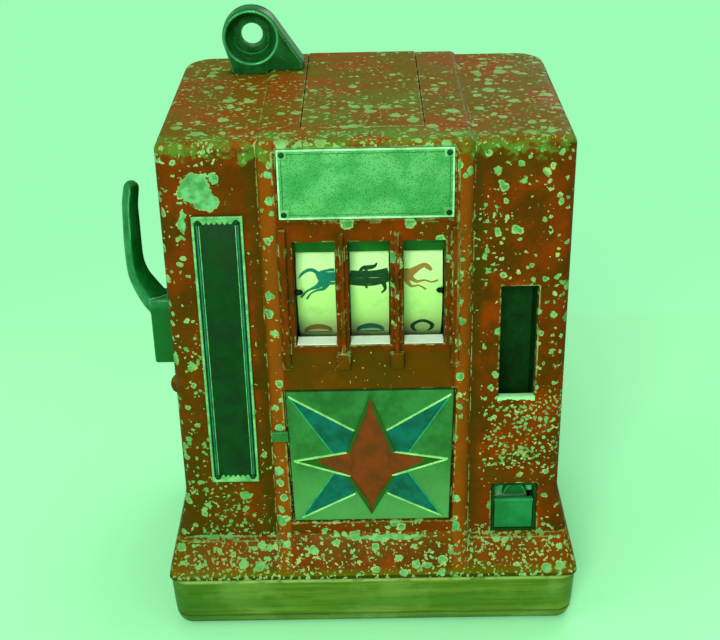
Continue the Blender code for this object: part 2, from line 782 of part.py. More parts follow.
def cash_box():
    low = MECH_TOP + GAP
    right, back = CASH_LEFT + CASH_W, CASH_FRONT + CASH_D
    outside = box_mesh((CASH_LEFT, CASH_FRONT, low), (right, back, low + CASH_H))
    tin = add_object("cash_box", outside, steel())
    cut(tin, box_mesh((CASH_LEFT + CASH_T, CASH_FRONT + CASH_T, low + CASH_T),
                      (right - CASH_T, back - CASH_T, low + CASH_H + BEYOND)), "inside")


# ---- Mechanism frame ---------------------------------------------------------------------------

def mech_plate():
    half = INNER_SIDE - 0.006
    low, high = (-half, COLUMN_FRONT + 0.009, MECH_LOW), (half, INNER_BACK - 0.005, MECH_TOP)
    add_object("mech_plate", box_mesh(low, high), steel())


def frame_bores():
    return {"reel": (REEL_Y, PAYLINE_Z, REEL_SHAFT_R), "stop": (STOP_Y, PAYLINE_Z, STOP_SHAFT_R),
            "kicker": (KICKER_Y, KICKER_Z, KICKER_R), "rod_front": (FRAME_FRONT + ROD_INSET, ROD_Z, ROD_R),
            "rod_back": (FRAME_BACK - ROD_INSET, ROD_Z, ROD_R)}


def side_frames():
    foot = MECH_TOP + GAP
    outline = [(FRAME_FRONT, foot), (FRAME_BACK, foot), (FRAME_BACK, FRAME_TOP - FRAME_CHAMFER),
               (FRAME_BACK - FRAME_CHAMFER, FRAME_TOP), (FRAME_FRONT + FRAME_CHAMFER, FRAME_TOP),
               (FRAME_FRONT, FRAME_TOP - FRAME_CHAMFER)]
    for name, side in (("frame_left", -1), ("frame_right", 1)):
        near, far = sorted((side * FRAME_X, side * FRAME_OUT))
        plate = add_object(name, prism_mesh(outline, "X", near, far), steel())
        inner, outer = sorted((side * (FRAME_X - FRAME_FLANGE), side * (FRAME_X + FRAME_T / 2)))
        front, back = FRAME_FRONT + 0.004, FRAME_BACK - 0.004
        join(plate, box_mesh((inner, front, foot), (outer, back, foot + FLANGE_T)), "flange")
        bores = frame_bores()
        if side < 0:
            bores["lever"] = (LEVER_Y, LEVER_Z, LEVER_SHAFT_R)
        for label, (y, z, r) in bores.items():
            cut(plate, rod_mesh("X", (y, z), r + SLIP, near - BEYOND, far + BEYOND), label)


def frame_rods():
    reach = FRAME_OUT + ROD_END
    bores = frame_bores()
    for name, key in (("tie_rod_front", "rod_front"), ("tie_rod_back", "rod_back"), ("reel_shaft", "reel"),
                      ("stop_shaft", "stop")):
        y, z, r = bores[key]
        add_object(name, rod_mesh("X", (y, z), r, -reach, reach), steel())


# ---- Reels -------------------------------------------------------------------------------------

def reels():
    drum_look = material("drum", (0.16, 0.30, 0.18), 0.45, 0.6)
    strip_look = material("reel_paper", (0.62, 0.85, 0.45), 0.7)
    centre = (REEL_Y, PAYLINE_Z)
    for i, x in enumerate(REEL_XS):
        origin = (x, REEL_Y, PAYLINE_Z)
        left, right = x - REEL_W / 2, x + REEL_W / 2
        start, stop = x - HUB_BACK, x + HUB_FORE
        bore = REEL_SHAFT_R + SLIP
        inside = DRUM_R - DRUM_T
        web = left + DRUM_T
        profile = [(start, bore), (start, HUB_R), (left, HUB_R), (left, DRUM_R), (right, DRUM_R),
                   (right, inside), (web, inside), (web, HUB_R), (stop, HUB_R), (stop, bore)]
        add_object(f"reel_drum_{i + 1}", turned_mesh(profile, "X", centre, REEL_SIDES), drum_look, origin)
        low = DRUM_R + GAP
        high = low + STRIP_T
        strip = [(left + GAP, low), (left + GAP, high), (right - GAP, high), (right - GAP, low)]
        add_object(f"reel_strip_{i + 1}", turned_mesh(strip, "X", centre, REEL_SIDES), strip_look, origin)
        ratchet(f"ratchet_{i + 1}", x, origin)


def ratchet_plane(x):
    """The middle of the ratchet wheel's thickness for the reel at x."""
    return x - REEL_W / 2 - RATCHET_SET


def ratchet(name, x, origin):
    points = []
    for tooth in range(SYMBOLS):
        start = 360 * tooth / SYMBOLS
        foot_r = RATCHET_R - RATCHET_DEPTH
        for turn, r in ((0, RATCHET_R), (TOOTH_BACK, RATCHET_R), (TOOTH_FOOT, foot_r), (TOOTH_NEXT, foot_r)):
            angle = math.radians(start + turn)
            points.append((REEL_Y + r * math.cos(angle), PAYLINE_Z + r * math.sin(angle)))
    plane = ratchet_plane(x)
    half = RATCHET_T / 2
    wheel = add_object(name, prism_mesh(points, "X", plane - half, plane + half), steel(), origin)
    cut(wheel, rod_mesh("X", (REEL_Y, PAYLINE_Z), HUB_R + SLIP, plane - BEYOND, plane + BEYOND, 40), "bore")


def stop_levers():
    """Levers that fall into the ratchet wheels, each on a sleeve on the stop shaft."""
    tip = REEL_Y + RATCHET_R + STOP_CLEAR
    for i, x in enumerate(REEL_XS):
        start, stop = x - HUB_BACK, x + HUB_FORE
        plane = ratchet_plane(x)
        origin = (plane, STOP_Y, PAYLINE_Z)
        profile = [(start, STOP_SHAFT_R + SLIP), (start, STOP_SLEEVE_R), (stop, STOP_SLEEVE_R),
                   (stop, STOP_SHAFT_R + SLIP)]
        sleeve = turned_mesh(profile, "X", (STOP_Y, PAYLINE_Z), SECTION_SIDES)
        lever = add_object(f"stop_lever_{i + 1}", sleeve, dark_iron(), origin)
        root = STOP_Y - 0.0045
        rises = ((root, -0.002), (root, 0.0032), (tip + 0.006, 0.0055), (tip, 0.0012), (tip, -0.0012),
                 (tip + 0.005, 0.0010))
        arm = [(y, PAYLINE_Z + rise) for y, rise in rises]
        join(lever, prism_mesh(arm, "X", plane - STOP_ARM_T / 2, plane + STOP_ARM_T / 2), "arm")


# ---- Lever, crank, link and kicker -------------------------------------------------------------

def bush_radius():
    return LEVER_SHAFT_R + SLIP + BUSH_T


def lever_path():
    """Middle line of the lever's arm: x out from the case's side, height, and the half sizes' shares."""
    side = -CASE_W / 2
    return [(side - 0.0096, 0.1860, 1.05, 1.0), (side - 0.0106, 0.1925, 1.30, 1.04),
            (side - 0.0130, 0.1995, 1.60, 1.05), (side - 0.0170, 0.2068, 1.50, 1.05),
            (side - 0.0206, 0.2143, 1.28, 1.02), (side - 0.0223, 0.2215, 1.10, 1.0),
            (side - 0.0228, 0.2280, 1.02, 1.0), (side - 0.0228, 0.2360, 1.0, 1.0),
            (side - 0.0225, 0.2465, 0.96, 1.0), (side - 0.0221, 0.2587, 0.90, 0.97),
            (side - 0.0209, 0.2665, 0.87, 0.95), (side - 0.0200, 0.2706, 0.78, 0.85),
            (side - 0.0198, 0.2723, 0.45, 0.5)]


def lever_rings():
    path = lever_path()
    rings = []
    for i, (x, z, wide, deep) in enumerate(path):
        before, after = path[max(0, i - 1)], path[min(len(path) - 1, i + 1)]
        run = Vector((after[0] - before[0], 0, after[1] - before[1])).normalized()
        across = Vector((run.z, 0, -run.x))
        ring = []
        for u, v in circle(0, 0, 1, 14):
            offset = across * u * GRIP_HALF_X * wide
            ring.append((x + offset.x, LEVER_Y + v * GRIP_HALF_Y * deep, z + offset.z))
        rings.append(ring)
    return rings


def handle():
    side = -CASE_W / 2 - LEVER_CLEAR
    origin = (side, LEVER_Y, LEVER_Z)
    centre = (LEVER_Y, LEVER_Z)
    outer = side - LEVER_SLAB_T
    lever = add_object("handle_lever", box_mesh((outer, LEVER_Y - LEVER_SLAB_D / 2, LEVER_SLAB_LOW),
                                                (side, LEVER_Y + LEVER_SLAB_D / 2, LEVER_SLAB_HIGH)),
                       dark_iron(), origin)
    soften(lever, 0.0015)
    join(lever, loft_mesh(lever_rings()), "arm")
    floor = outer + LEVER_SOCKET_FLOOR
    cut(lever, rod_mesh("X", centre, LEVER_SHAFT_R + SLIP, floor, side + BEYOND), "socket")
    shaft = rod_mesh("X", centre, LEVER_SHAFT_R, floor + 0.0005, -FRAME_X + 0.0006)
    add_object("handle_shaft", shaft, steel(), origin)
    outside, inside = -CASE_W / 2 + GAP, -INNER_SIDE + GAP
    bore, flange_r = LEVER_SHAFT_R + SLIP, bush_radius() + BUSH_FLANGE
    bush = [(outside, bore), (outside, bush_radius()), (inside, bush_radius()), (inside, flange_r),
            (inside + BUSH_T, flange_r), (inside + BUSH_T, bore)]
    add_object("handle_bush", turned_mesh(bush, "X", centre, SECTION_SIDES),
               material("brass", (0.45, 0.5, 0.12), 0.3, 0.9))


def crank_offset():
    return CRANK_R * math.cos(CRANK_ANGLE), CRANK_R * math.sin(CRANK_ANGLE)


def arm_outline(y, z, dy, dz, half):
    """A bar with round ends from (y, z) to (y + dy, z + dz)."""
    turn = math.degrees(math.atan2(dz, dy))
    return arc(y + dy, z + dz, half, turn - 90, turn + 90, 6) + arc(y, z, half, turn + 90, turn + 270, 6)


def crank_arm(target, centre, boss_r):
    """Adds a crank arm's pin and boss to the target, whose own shape holds or gets the arm."""
    dy, dz = crank_offset()
    low, high = CRANK_X - CRANK_T / 2, CRANK_X + CRANK_T / 2
    join(target, rod_mesh("X", centre, boss_r, low - 0.003, high), "boss")
    pin = (centre[0] + dy, centre[1] + dz)
    join(target, rod_mesh("X", pin, LINK_PIN_R, high - 0.001, high + LINK_T + LINK_PIN_PROUD, 12), "pin")


def crank():
    low, high = CRANK_X - CRANK_T / 2, CRANK_X + CRANK_T / 2
    centre = (LEVER_Y, LEVER_Z)
    outline = arm_outline(*centre, *crank_offset(), LINK_HALF)
    bar = add_object("handle_crank", prism_mesh(outline, "X", low, high), dark_iron(), (CRANK_X, *centre))
    crank_arm(bar, centre, LEVER_SHAFT_R + CRANK_BOSS)
    cut(bar, rod_mesh("X", centre, LEVER_SHAFT_R + SLIP, low - BEYOND, high + BEYOND), "bore")


def pull_link():
    dy, dz = crank_offset()
    low = CRANK_X + CRANK_T / 2 + LINK_CLEAR
    high = low + LINK_T
    start = (LEVER_Y + dy, LEVER_Z + dz)
    stop = (KICKER_Y + dy, KICKER_Z + dz)
    outline = arm_outline(*start, stop[0] - start[0], stop[1] - start[1], LINK_HALF)
    link = add_object("pull_link", prism_mesh(outline, "X", low, high), steel(), (low, *start))
    for label, eye in (("front_eye", start), ("back_eye", stop)):
        cut(link, rod_mesh("X", eye, LINK_PIN_R + SLIP, low - BEYOND, high + BEYOND, 12), label)


def kicker():
    """The cross shaft that the link turns, with a finger for each ratchet wheel."""
    low, high = CRANK_X - CRANK_T / 2, CRANK_X + CRANK_T / 2
    centre = (KICKER_Y, KICKER_Z)
    boss_r = KICKER_R + KICKER_BOSS
    rod = rod_mesh("X", centre, KICKER_R, low - 0.0005, FRAME_OUT + ROD_END)
    shaft = add_object("kicker_shaft", rod, steel(), (0, *centre))
    join(shaft, prism_mesh(arm_outline(*centre, *crank_offset(), LINK_HALF), "X", low, high), "lever")
    crank_arm(shaft, centre, boss_r)
    fy, fz = FINGER_LENGTH * math.cos(FINGER_ANGLE), FINGER_LENGTH * math.sin(FINGER_ANGLE)
    finger = arm_outline(*centre, fy, fz, FINGER_HALF)
    for i, x in enumerate(REEL_XS):
        plane = ratchet_plane(x)
        join(shaft, prism_mesh(finger, "X", plane - FINGER_T / 2, plane + FINGER_T / 2), f"finger_{i + 1}")
        join(shaft, rod_mesh("X", centre, boss_r, plane - 0.0025, plane + 0.0025), f"collar_{i + 1}")


def return_spring():
    """A torsion spring wound round the lever's shaft, between the bush and the crank."""
    mean = LEVER_SHAFT_R + SLIP + SPRING_WIRE_R
    start = -INNER_SIDE + GAP + BUSH_T + GAP + SPRING_WIRE_R + 0.003
    rings = []
    for i in range(SPRING_TURNS * SPRING_STEPS + 1):
        turn = 2 * math.pi * i / SPRING_STEPS
        out = Vector((0, math.cos(turn), math.sin(turn)))
        middle = Vector((start + SPRING_PITCH * i / SPRING_STEPS, LEVER_Y, LEVER_Z)) + out * mean
        across = Vector((1, 0, 0))
        rings.append([middle + out * u + across * v for u, v in circle(0, 0, SPRING_WIRE_R, 6)])
    add_object("return_spring", loft_mesh(rings), steel())


def side_bolt():
    side = -CASE_W / 2
    centre = (SIDE_BOLT_Y, SIDE_BOLT_Z)
    head = ((1.0, 0.15), (0.92, 0.5), (0.66, 0.85), (0.3, 1.0))
    profile = [(SIDE_BOLT_PROUD * share, SIDE_BOLT_R * r) for share, r in head]
    profile += [(GAP, SIDE_BOLT_R), (GAP, SIDE_BOLT_SHANK_R), (-WALL - 0.003, SIDE_BOLT_SHANK_R)]
    rings = [[(side - proud, y, z) for y, z in circle(*centre, r, 12)] for proud, r in profile]
    add_object("side_bolt", loft_mesh(rings), paint())


# ---- Token side --------------------------------------------------------------------------------

def tube_half():
    return TOKEN_R + TUBE_SLACK + TUBE_T


def tube_y():
    """Middle of the token stack, front to back."""
    return INNER_FRONT + GAP + TUBE_SLACK + TOKEN_R


def bed_top():
    """Top of the slide bed's cheeks, under the token tube's flange."""
    return BED_LOW + BED_T + SLIDE_T + SLIDE_HEADROOM


def bed_half():
    return TOKEN_R + BED_SIDE


def token_tube():
    half, y = tube_half(), tube_y()
    front = INNER_FRONT + GAP
    low = bed_top() + GAP
    inner = half - TUBE_T
    outline = [(TOKEN_X - half, front), (TOKEN_X - inner, front), (TOKEN_X - inner, y + inner),
               (TOKEN_X + inner, y + inner), (TOKEN_X + inner, front), (TOKEN_X + half, front),
               (TOKEN_X + half, y + half), (TOKEN_X - half, y + half)]
    tube = add_object("token_tube", prism_mesh(outline, "Z", low, TUBE_TOP), steel())
    flange = bed_half() + TUBE_T
    flange_low, flange_high = (TOKEN_X - flange, y - 0.004, low), (TOKEN_X + flange, y + half, low + TUBE_T)
    join(tube, box_mesh(flange_low, flange_high), "flange")
    throat_low = (TOKEN_X - inner, front - BEYOND, low - BEYOND)
    cut(tube, box_mesh(throat_low, (TOKEN_X + inner, y + inner, low + BEYOND)), "throat")


def slide_bed():
    half, y = bed_half(), tube_y()
    outer = half + TUBE_T
    back = y + SLIDE_TRAVEL + BED_TAIL
    bed = add_object("slide_bed", box_mesh((TOKEN_X - outer, INNER_FRONT + GAP, BED_LOW),
                                           (TOKEN_X + outer, back, bed_top())), steel())
    cut(bed, box_mesh((TOKEN_X - half, INNER_FRONT - BEYOND, BED_LOW + BED_T),
                      (TOKEN_X + half, back + BEYOND, bed_top() + BEYOND)), "channel")
    drop_at = (TOKEN_X, y + SLIDE_TRAVEL)
    cut(bed, rod_mesh("Z", drop_at, TOKEN_R + 0.001, BED_LOW - BEYOND, BED_LOW + BEYOND), "drop")
    arm = box_mesh((FRAME_OUT + GAP, back - 0.020, BED_LOW), (TOKEN_X - half, back - 0.004, BED_LOW + 0.002))
    join(bed, arm, "arm")


def token_slide():
    half, y = bed_half() - SLIP, tube_y()
    low = BED_LOW + BED_T + GAP
    front = INNER_FRONT + 2 * GAP
    plate = box_mesh((TOKEN_X - half, front, low), (TOKEN_X + half, y + SLIDE_TAIL, low + SLIDE_T))
    slide = add_object("token_slide", plate, bare_metal(), (TOKEN_X, y, low))
    cut(slide, rod_mesh("Z", (TOKEN_X, y), TOKEN_R + 0.0004, low - BEYOND, low + BEYOND), "pocket")


def payout_chute():
    """The ramp under the slide's drop hole, down into the cup."""
    top_y, top_z = tube_y() + SLIDE_TRAVEL + TOKEN_R + 0.002, BED_LOW - GAP
    toe_y, toe_z = cup_back() + 0.0005, PAYOUT_LOW + 0.0035
    outline = [(toe_y, toe_z), (toe_y, toe_z + 0.0015), (top_y - 0.0015, top_z), (top_y, top_z),
               (toe_y + 0.004, toe_z)]
    half = TOKEN_R + 0.003
    add_object("payout_chute", prism_mesh(outline, "X", TOKEN_X - half, TOKEN_X + half), steel())


def cup_front():
    return COLUMN_FRONT + CUP_SET


def cup_back():
    return INNER_FRONT + CUP_REACH


def payout_cup():
    outside = prism_mesh(payout_outline(GAP), "Y", cup_front(), cup_back())
    cup = add_object("payout_cup", outside, dark_iron())
    inside = payout_outline(GAP + CUP_WALL)
    cut(cup, prism_mesh(inside, "Y", cup_front() - BEYOND, cup_back() + BEYOND), "inside")
    left, right = PAYOUT_X - PAYOUT_W, PAYOUT_X + PAYOUT_W
    cut(cup, rod_mesh("X", (flap_y(), FLAP_Z), FLAP_PIN_R + GAP, left, right, 8), "pin_holes")


def flap_y():
    return cup_front() + FLAP_BARREL_R + GAP


def payout_flap():
    half = PAYOUT_W / 2 - GAP - CUP_WALL - 0.0004
    reach = PAYOUT_W / 2 - GAP
    centre = (flap_y(), FLAP_Z)
    barrel = rod_mesh("X", centre, FLAP_BARREL_R, PAYOUT_X - half, PAYOUT_X + half, 12)
    flap = add_object("payout_flap", barrel, dark_iron(), (PAYOUT_X, *centre))
    front = flap_y() - FLAP_BARREL_R * 0.9
    low = PAYOUT_LOW + 3 * GAP + CUP_WALL
    join(flap, box_mesh((PAYOUT_X - half, front, low), (PAYOUT_X + half, front + FLAP_T, FLAP_Z)), "leaf")
    cut(flap, rod_mesh("X", centre, FLAP_PIN_R + GAP, PAYOUT_X - PAYOUT_W, PAYOUT_X + PAYOUT_W, 8), "bore")
    add_object("flap_pin", rod_mesh("X", centre, FLAP_PIN_R, PAYOUT_X - reach, PAYOUT_X + reach, 8), steel())


# ---- Back door ---------------------------------------------------------------------------------

def hinge_ends():
    """Foot of the lower case knuckle and top of the upper one."""
    return DOOR_LOW + DOOR_LEFT_SET, DOOR_HIGH - 0.0055


def case_knuckles():
    low, high = hinge_ends()
    return [(low, low + KNUCKLE_H), (high - KNUCKLE_H, high)]


def door_knuckles():
    (_, low), (high, _) = case_knuckles()
    low, high = low + KNUCKLE_GAP, high - KNUCKLE_GAP
    return [(low, low + BARREL_H), (high - BARREL_H, high)]


def back_door():
    back = DOOR_FRONT + DOOR_T
    axis = (HINGE_X, HINGE_Y)
    left = HINGE_X + DOOR_LEFT_SET
    leaf = add_object("back_door", box_mesh((left, DOOR_FRONT, DOOR_LOW), (left + DOOR_W, back, DOOR_HIGH)),
                      paint(), (*axis, LOCK_Z))
    for i, (low, high) in enumerate(door_knuckles()):
        join(leaf, box_mesh((HINGE_X, DOOR_FRONT, low), (left + 0.0015, back, high)), f"strap_{i + 1}")
        join(leaf, rod_mesh("Z", axis, KNUCKLE_R, low, high), f"barrel_{i + 1}")
        cut(leaf, rod_mesh("Z", axis, HINGE_PIN_R + SLIP, low - 0.001, high + 0.001, 10), f"bore_{i + 1}")
    cut(leaf, rod_mesh("Y", (LOCK_X, LOCK_Z), LOCK_R + GAP, DOOR_FRONT - BEYOND, back + BEYOND), "lock_hole")
    low, high = hinge_ends()
    add_object("door_hinge_pin", rod_mesh("Z", axis, HINGE_PIN_R, low - 0.0008, high + 0.0008, 10), steel())


def door_lock():
    back = DOOR_FRONT + DOOR_T
    inner = DOOR_FRONT - LOCK_DEPTH
    bore = PLUG_R + SLIP
    centre = (LOCK_X, LOCK_Z)
    profile = [(inner, bore), (inner, LOCK_R), (back + GAP, LOCK_R), (back + GAP, LOCK_HEAD_R),
               (back + 0.0022, LOCK_HEAD_R), (back + 0.0026, LOCK_HEAD_R - 0.001), (back + 0.0026, bore)]
    origin = (LOCK_X, inner, LOCK_Z)
    add_object("door_lock", turned_mesh(profile, "Y", centre, SECTION_SIDES), bare_metal(), origin)
    high = inner - 0.0006
    low = high - CAM_T
    cam = add_object("lock_cam", rod_mesh("Y", centre, PLUG_R, low, back + 0.0030), steel(), origin)
    outline = arc(*centre, 0.006, 180, 360, 8)
    outline += [(LOCK_X + CAM_HALF, LOCK_Z + CAM_LENGTH), (LOCK_X - CAM_HALF, LOCK_Z + CAM_LENGTH)]
    join(cam, prism_mesh(outline, "Y", low, high), "blade")


# ---- The whole object --------------------------------------------------------------------------

def clear_scene():
    for found in list(bpy.data.objects):
        bpy.data.objects.remove(found, do_unlink=True)


def build():
    clear_scene()
    makers = (cabinet, wood_base, top_lid, award_plate, name_plate, star_panel, panel_clip, window_glass,
              pointers, coin_head, coin_chute, cash_box, mech_plate, side_frames, frame_rods, reels,
              stop_levers, handle, crank, pull_link, kicker, return_spring, side_bolt, token_tube, slide_bed,
              token_slide, payout_chute, payout_cup, payout_flap, back_door, door_lock)
    for make in makers:
        make()


build()
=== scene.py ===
"""Looks for a countertop three-reel amusement machine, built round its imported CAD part.

Metres, +Z up, front to -Y. The cast cabinet is chipped painted metal on a varnished wooden base.
"""

import json
import math

import bmesh
import bpy
from mathutils import Matrix, Vector


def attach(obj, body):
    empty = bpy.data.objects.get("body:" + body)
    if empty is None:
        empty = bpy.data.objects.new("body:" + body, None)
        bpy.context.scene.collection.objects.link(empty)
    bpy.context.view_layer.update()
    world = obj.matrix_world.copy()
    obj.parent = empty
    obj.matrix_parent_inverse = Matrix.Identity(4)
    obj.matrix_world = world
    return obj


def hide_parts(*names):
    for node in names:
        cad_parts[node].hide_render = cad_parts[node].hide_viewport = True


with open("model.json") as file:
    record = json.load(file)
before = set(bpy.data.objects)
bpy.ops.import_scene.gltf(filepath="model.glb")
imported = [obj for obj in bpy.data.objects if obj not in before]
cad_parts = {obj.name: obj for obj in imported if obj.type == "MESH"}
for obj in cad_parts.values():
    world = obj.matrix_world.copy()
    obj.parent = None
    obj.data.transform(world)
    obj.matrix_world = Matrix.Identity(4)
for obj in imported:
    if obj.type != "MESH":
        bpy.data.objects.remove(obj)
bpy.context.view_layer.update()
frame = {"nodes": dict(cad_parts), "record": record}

# Sizes of the cast case, as in the CAD part
GAP, WALL, BEYOND = 0.0003, 0.0045, 0.01
CASE_W, CASE_TOP, CASE_BOTTOM, CASE_BACK = 0.222, 0.308, 0.0363, 0.088
SIDE_FLARE, FLARE_TOP = 0.0125, 0.090
APRON_PROUD, APRON_TOP, APRON_LIP_H, APRON_LIP = 0.015, 0.058, 0.001, 0.0035
FRONT_CORNER, BACK_CORNER, TOP_ROUND = 0.007, 0.018, 0.005
CENTRE_W, CENTRE_PROUD, CENTRE_TOP, LEDGE_TOP, LEDGE_LOW = 0.1148, 0.006, 0.310, 0.0635, 0.0598
COLUMN_FRONT = -0.075
CENTRE_FRONT = COLUMN_FRONT - CENTRE_PROUD
INNER_FRONT, INNER_BACK, INNER_SIDE = COLUMN_FRONT + WALL, CASE_BACK - WALL, CASE_W / 2 - WALL
LIP_Z = APRON_TOP - APRON_LIP_H
BASE_W, BASE_D, BASE_H, BASE_CORNER, BASE_GROOVE_Z = 0.247, 0.180, 0.036, 0.012, 0.0085

# Windows, ribs and recesses
REEL_XS = (-0.0287, 0.0010, 0.0307)
REEL_Y, PAYLINE_Z = -0.012, 0.222
STRIP_R, STRIP_INNER_R, STRIP_HALF, STRIP_SIDES = 0.0549, 0.0543, 0.0107, 180
SYMBOLS = 10
WINDOW_W, WINDOW_LOW, WINDOW_HIGH, DRAFT = 0.0225, 0.1915, 0.2535, 0.0006
RIB_X, RIB_W, RIB_LOW, RIB_HIGH, RIB_PROUD = 0.0465, 0.0042, 0.177, 0.262, 0.0022
FIN_W, BLOCK_W, BLOCK_PROUD, BLOCK_HIGH = 0.0026, 0.0072, 0.0008, 0.187
PLATE_W, PLATE_LOW, PLATE_HIGH, PLATE_T, PLATE_SEAT = 0.0928, 0.2672, 0.3062, 0.0012, 0.001
PLATE_FRAME, PLATE_FRAME_PROUD = 0.0021, 0.0009
PIN_SHANK_R, PIN_DEPTH, AWARD_PIN_INSET, NAME_PIN_INSET = 0.0008, 0.0030, 0.0028, 0.0035
NAME_X, NAME_W, NAME_LOW, NAME_HIGH = -0.0799, 0.0276, 0.0985, 0.2678
STAR_LOW, STAR_HIGH, STAR_TOP_W, STAR_BOTTOM_W = 0.0717, 0.1626, 0.0980, 0.0940
STAR_DEPTH, STAR_T, STAR_MARGIN, STAR_Z = 0.003, 0.002, 0.0013, 0.115
TOKEN_X, TOKEN_W, TOKEN_LOW, TOKEN_HIGH = 0.0837, 0.0202, 0.1526, 0.2226
PAYOUT_X, PAYOUT_W, PAYOUT_LOW, PAYOUT_HIGH, PAYOUT_CORNER = 0.0850, 0.027, 0.058, 0.093, 0.002
FLAP_Y, FLAP_Z, FLAP_BARREL_R, FLAP_PIN_R, FLAP_SIDE = COLUMN_FRONT + 0.0037, 0.0790, 0.0022, 0.0009, 0.0019
LID_LEFT, LID_RIGHT, LID_FRONT, LID_T, LID_RIM = -0.0345, 0.0320, -0.058, 0.0026, 0.006
DOOR_OPENING_W, DOOR_OPENING_HIGH = 0.172, 0.296
HINGE_X, HINGE_Y, KNUCKLE_R, HINGE_BORE = -0.093, 0.0915, 0.0028, 0.00155
KNUCKLES = ((0.0455, 0.0595), (0.2805, 0.2945))

# Coin head
HEAD_X, HEAD_Y, HEAD_Z, HEAD_R, HEAD_T = -0.0672, 0.049, 0.3297, 0.01757, 0.013
HEAD_FOOT_LEFT, HEAD_FOOT_RIGHT, HEAD_FOOT_H = 0.012, 0.031, 0.0065
CUP_R, CUP_DEPTH, EYE_R, CUP_SIDES = 0.0152, 0.0114, 0.0064, 72
SLOT_W, SLOT_T, SLOT_SET = 0.0198, 0.0022, 0.0088

# Lever and the two holes in the case's side
LEVER_Y, LEVER_Z, LEVER_SHAFT_R = -0.035, 0.170, 0.006
LEVER_SLAB_T, LEVER_SLAB_D, LEVER_SLAB_LOW, LEVER_SLAB_HIGH = 0.015, 0.017, 0.1611, 0.2030
LEVER_CLEAR, LEVER_FLOOR, LEVER_HALF_W, LEVER_HALF_D = 0.0004, 0.004, 0.0051, 0.0066
BUSH_HOLE_R, BOLT_Y, BOLT_Z, BOLT_HOLE_R = 0.0087, -0.055, 0.154, 0.0033
# The arm's stations: millimetres out from the case and up, then shares of its width and depth
LEVER_PATH = ((9.6, 186.0, 1.05, 1.0), (10.6, 192.5, 1.30, 1.04), (13.0, 199.5, 1.60, 1.05),
              (17.0, 206.8, 1.50, 1.05), (20.6, 214.3, 1.28, 1.02), (22.3, 221.5, 1.10, 1.0),
              (22.8, 228.0, 1.02, 1.0), (22.8, 236.0, 1.0, 1.0), (22.5, 246.5, 0.96, 1.0),
              (22.1, 258.7, 0.90, 0.97), (20.9, 266.5, 0.87, 0.95), (20.2, 270.0, 0.82, 0.88),
              (19.95, 271.7, 0.64, 0.68), (19.8, 272.3, 0.40, 0.44))

# Camera, and lamps: name, place, aim, size and power
CAMERA_AT = (0.00102, -0.71978, 0.53580)
CAMERA_TURNS = (-0.50368, 27.2373, 1.22664)
CAMERA_LENS = 65.414
WORLD_LIGHT = 0.44
LAMPS = (("front", (-0.25, -1.5, 0.95), (0, 0, 0.18), 0.6, 23.0),
         ("left", (-1.3, -0.5, 1.1), (0, 0, 0.15), 1.0, 4.0),
         ("top", (0.2, 0.3, 2.0), (0, 0, 0.15), 1.2, 9.0), ("back", (0.8, 1.6, 1.0), (0, 0, 0.15), 1.0, 8.0))

# Larger bare places on the front: x, z and half sizes
BARE_SPOTS = ((-0.0905, 0.2830, 0.0100, 0.0105), (-0.0852, 0.2760, 0.0085, 0.0060),
              (-0.0800, 0.2885, 0.0028, 0.0040), (-0.0985, 0.2640, 0.0022, 0.0075),
              (0.010, 0.0617, 0.030, 0.0012), (-0.0950, 0.0585, 0.0150, 0.0011),
              (-0.0745, 0.0880, 0.0040, 0.0036))

# Star and rays, from the star's middle; a ray's points are given for its upper and its lower pair
STAR_TIP_X, STAR_TIP_Z, STAR_TIP_LOW, STAR_VALLEY_X = 0.0448, 0.0442, 0.0377, 0.0120
STAR_VALLEY_UP, STAR_VALLEY_DOWN = 0.0057, 0.0111
RAYS = {1: ((0.0462, 0.0434), (0.0092, 0.0200), (0.0222, 0.0052), (0.0115, STAR_VALLEY_UP)),
        -1: ((0.0415, 0.0400), (0.0092, 0.0233), (0.0222, 0.0096), (0.0115, STAR_VALLEY_DOWN))}


# ---- Mesh code ---------------------------------------------------------------------------------

def new_object(name, bm, looks, sharp=32):
    """An object from a bmesh in the row frame, smooth but for edges sharper than an angle."""
    bmesh.ops.recalc_face_normals(bm, faces=bm.faces[:])
    mesh = bpy.data.meshes.new(name)
    bm.to_mesh(mesh)
    bm.free()
    for look in looks:
        mesh.materials.append(look)
    made = bpy.data.objects.new(name, mesh)
    bpy.context.scene.collection.objects.link(made)
    smooth(made, sharp)
    return made


def merged(name, parts, sharp=32):
    """One object from bmeshes that each have their own look."""
    looks = list(dict.fromkeys(look for bm, look in parts))
    whole = bmesh.new()
    for bm, look in parts:
        bmesh.ops.recalc_face_normals(bm, faces=bm.faces[:])
        for face in bm.faces:
            face.material_index = looks.index(look)
        mesh = bpy.data.meshes.new("part")
        bm.to_mesh(mesh)
        bm.free()
        whole.from_mesh(mesh)
        bpy.data.meshes.remove(mesh)
    return new_object(name, whole, looks, sharp)


def smooth(obj, sharp=32):
    obj.data.shade_smooth()
    obj.data.set_sharp_from_angle(angle=math.radians(sharp))


def place(obj, body, slot_name, *nodes):
    """Puts a piece on its body, with the CAD nodes it stands for; the material slot name is not used."""
    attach(obj, body)
    if nodes:
        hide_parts(*nodes)


def piece(name, bm, look, body, slot_name, *nodes, sharp=32):
    place(new_object(name, bm, [look], sharp), body, slot_name, *nodes)


def box_mesh(low, high, round_by=0.0, steps=2):
    bm = bmesh.new()
    bmesh.ops.create_cube(bm, size=1)
    for vert in bm.verts:
        vert.co = [low[i] if vert.co[i] < 0 else high[i] for i in range(3)]
    if round_by:
        bmesh.ops.bevel(bm, geom=bm.edges[:], offset=round_by, segments=steps, profile=0.5,
                        affect="EDGES", clamp_overlap=True)
    return bm


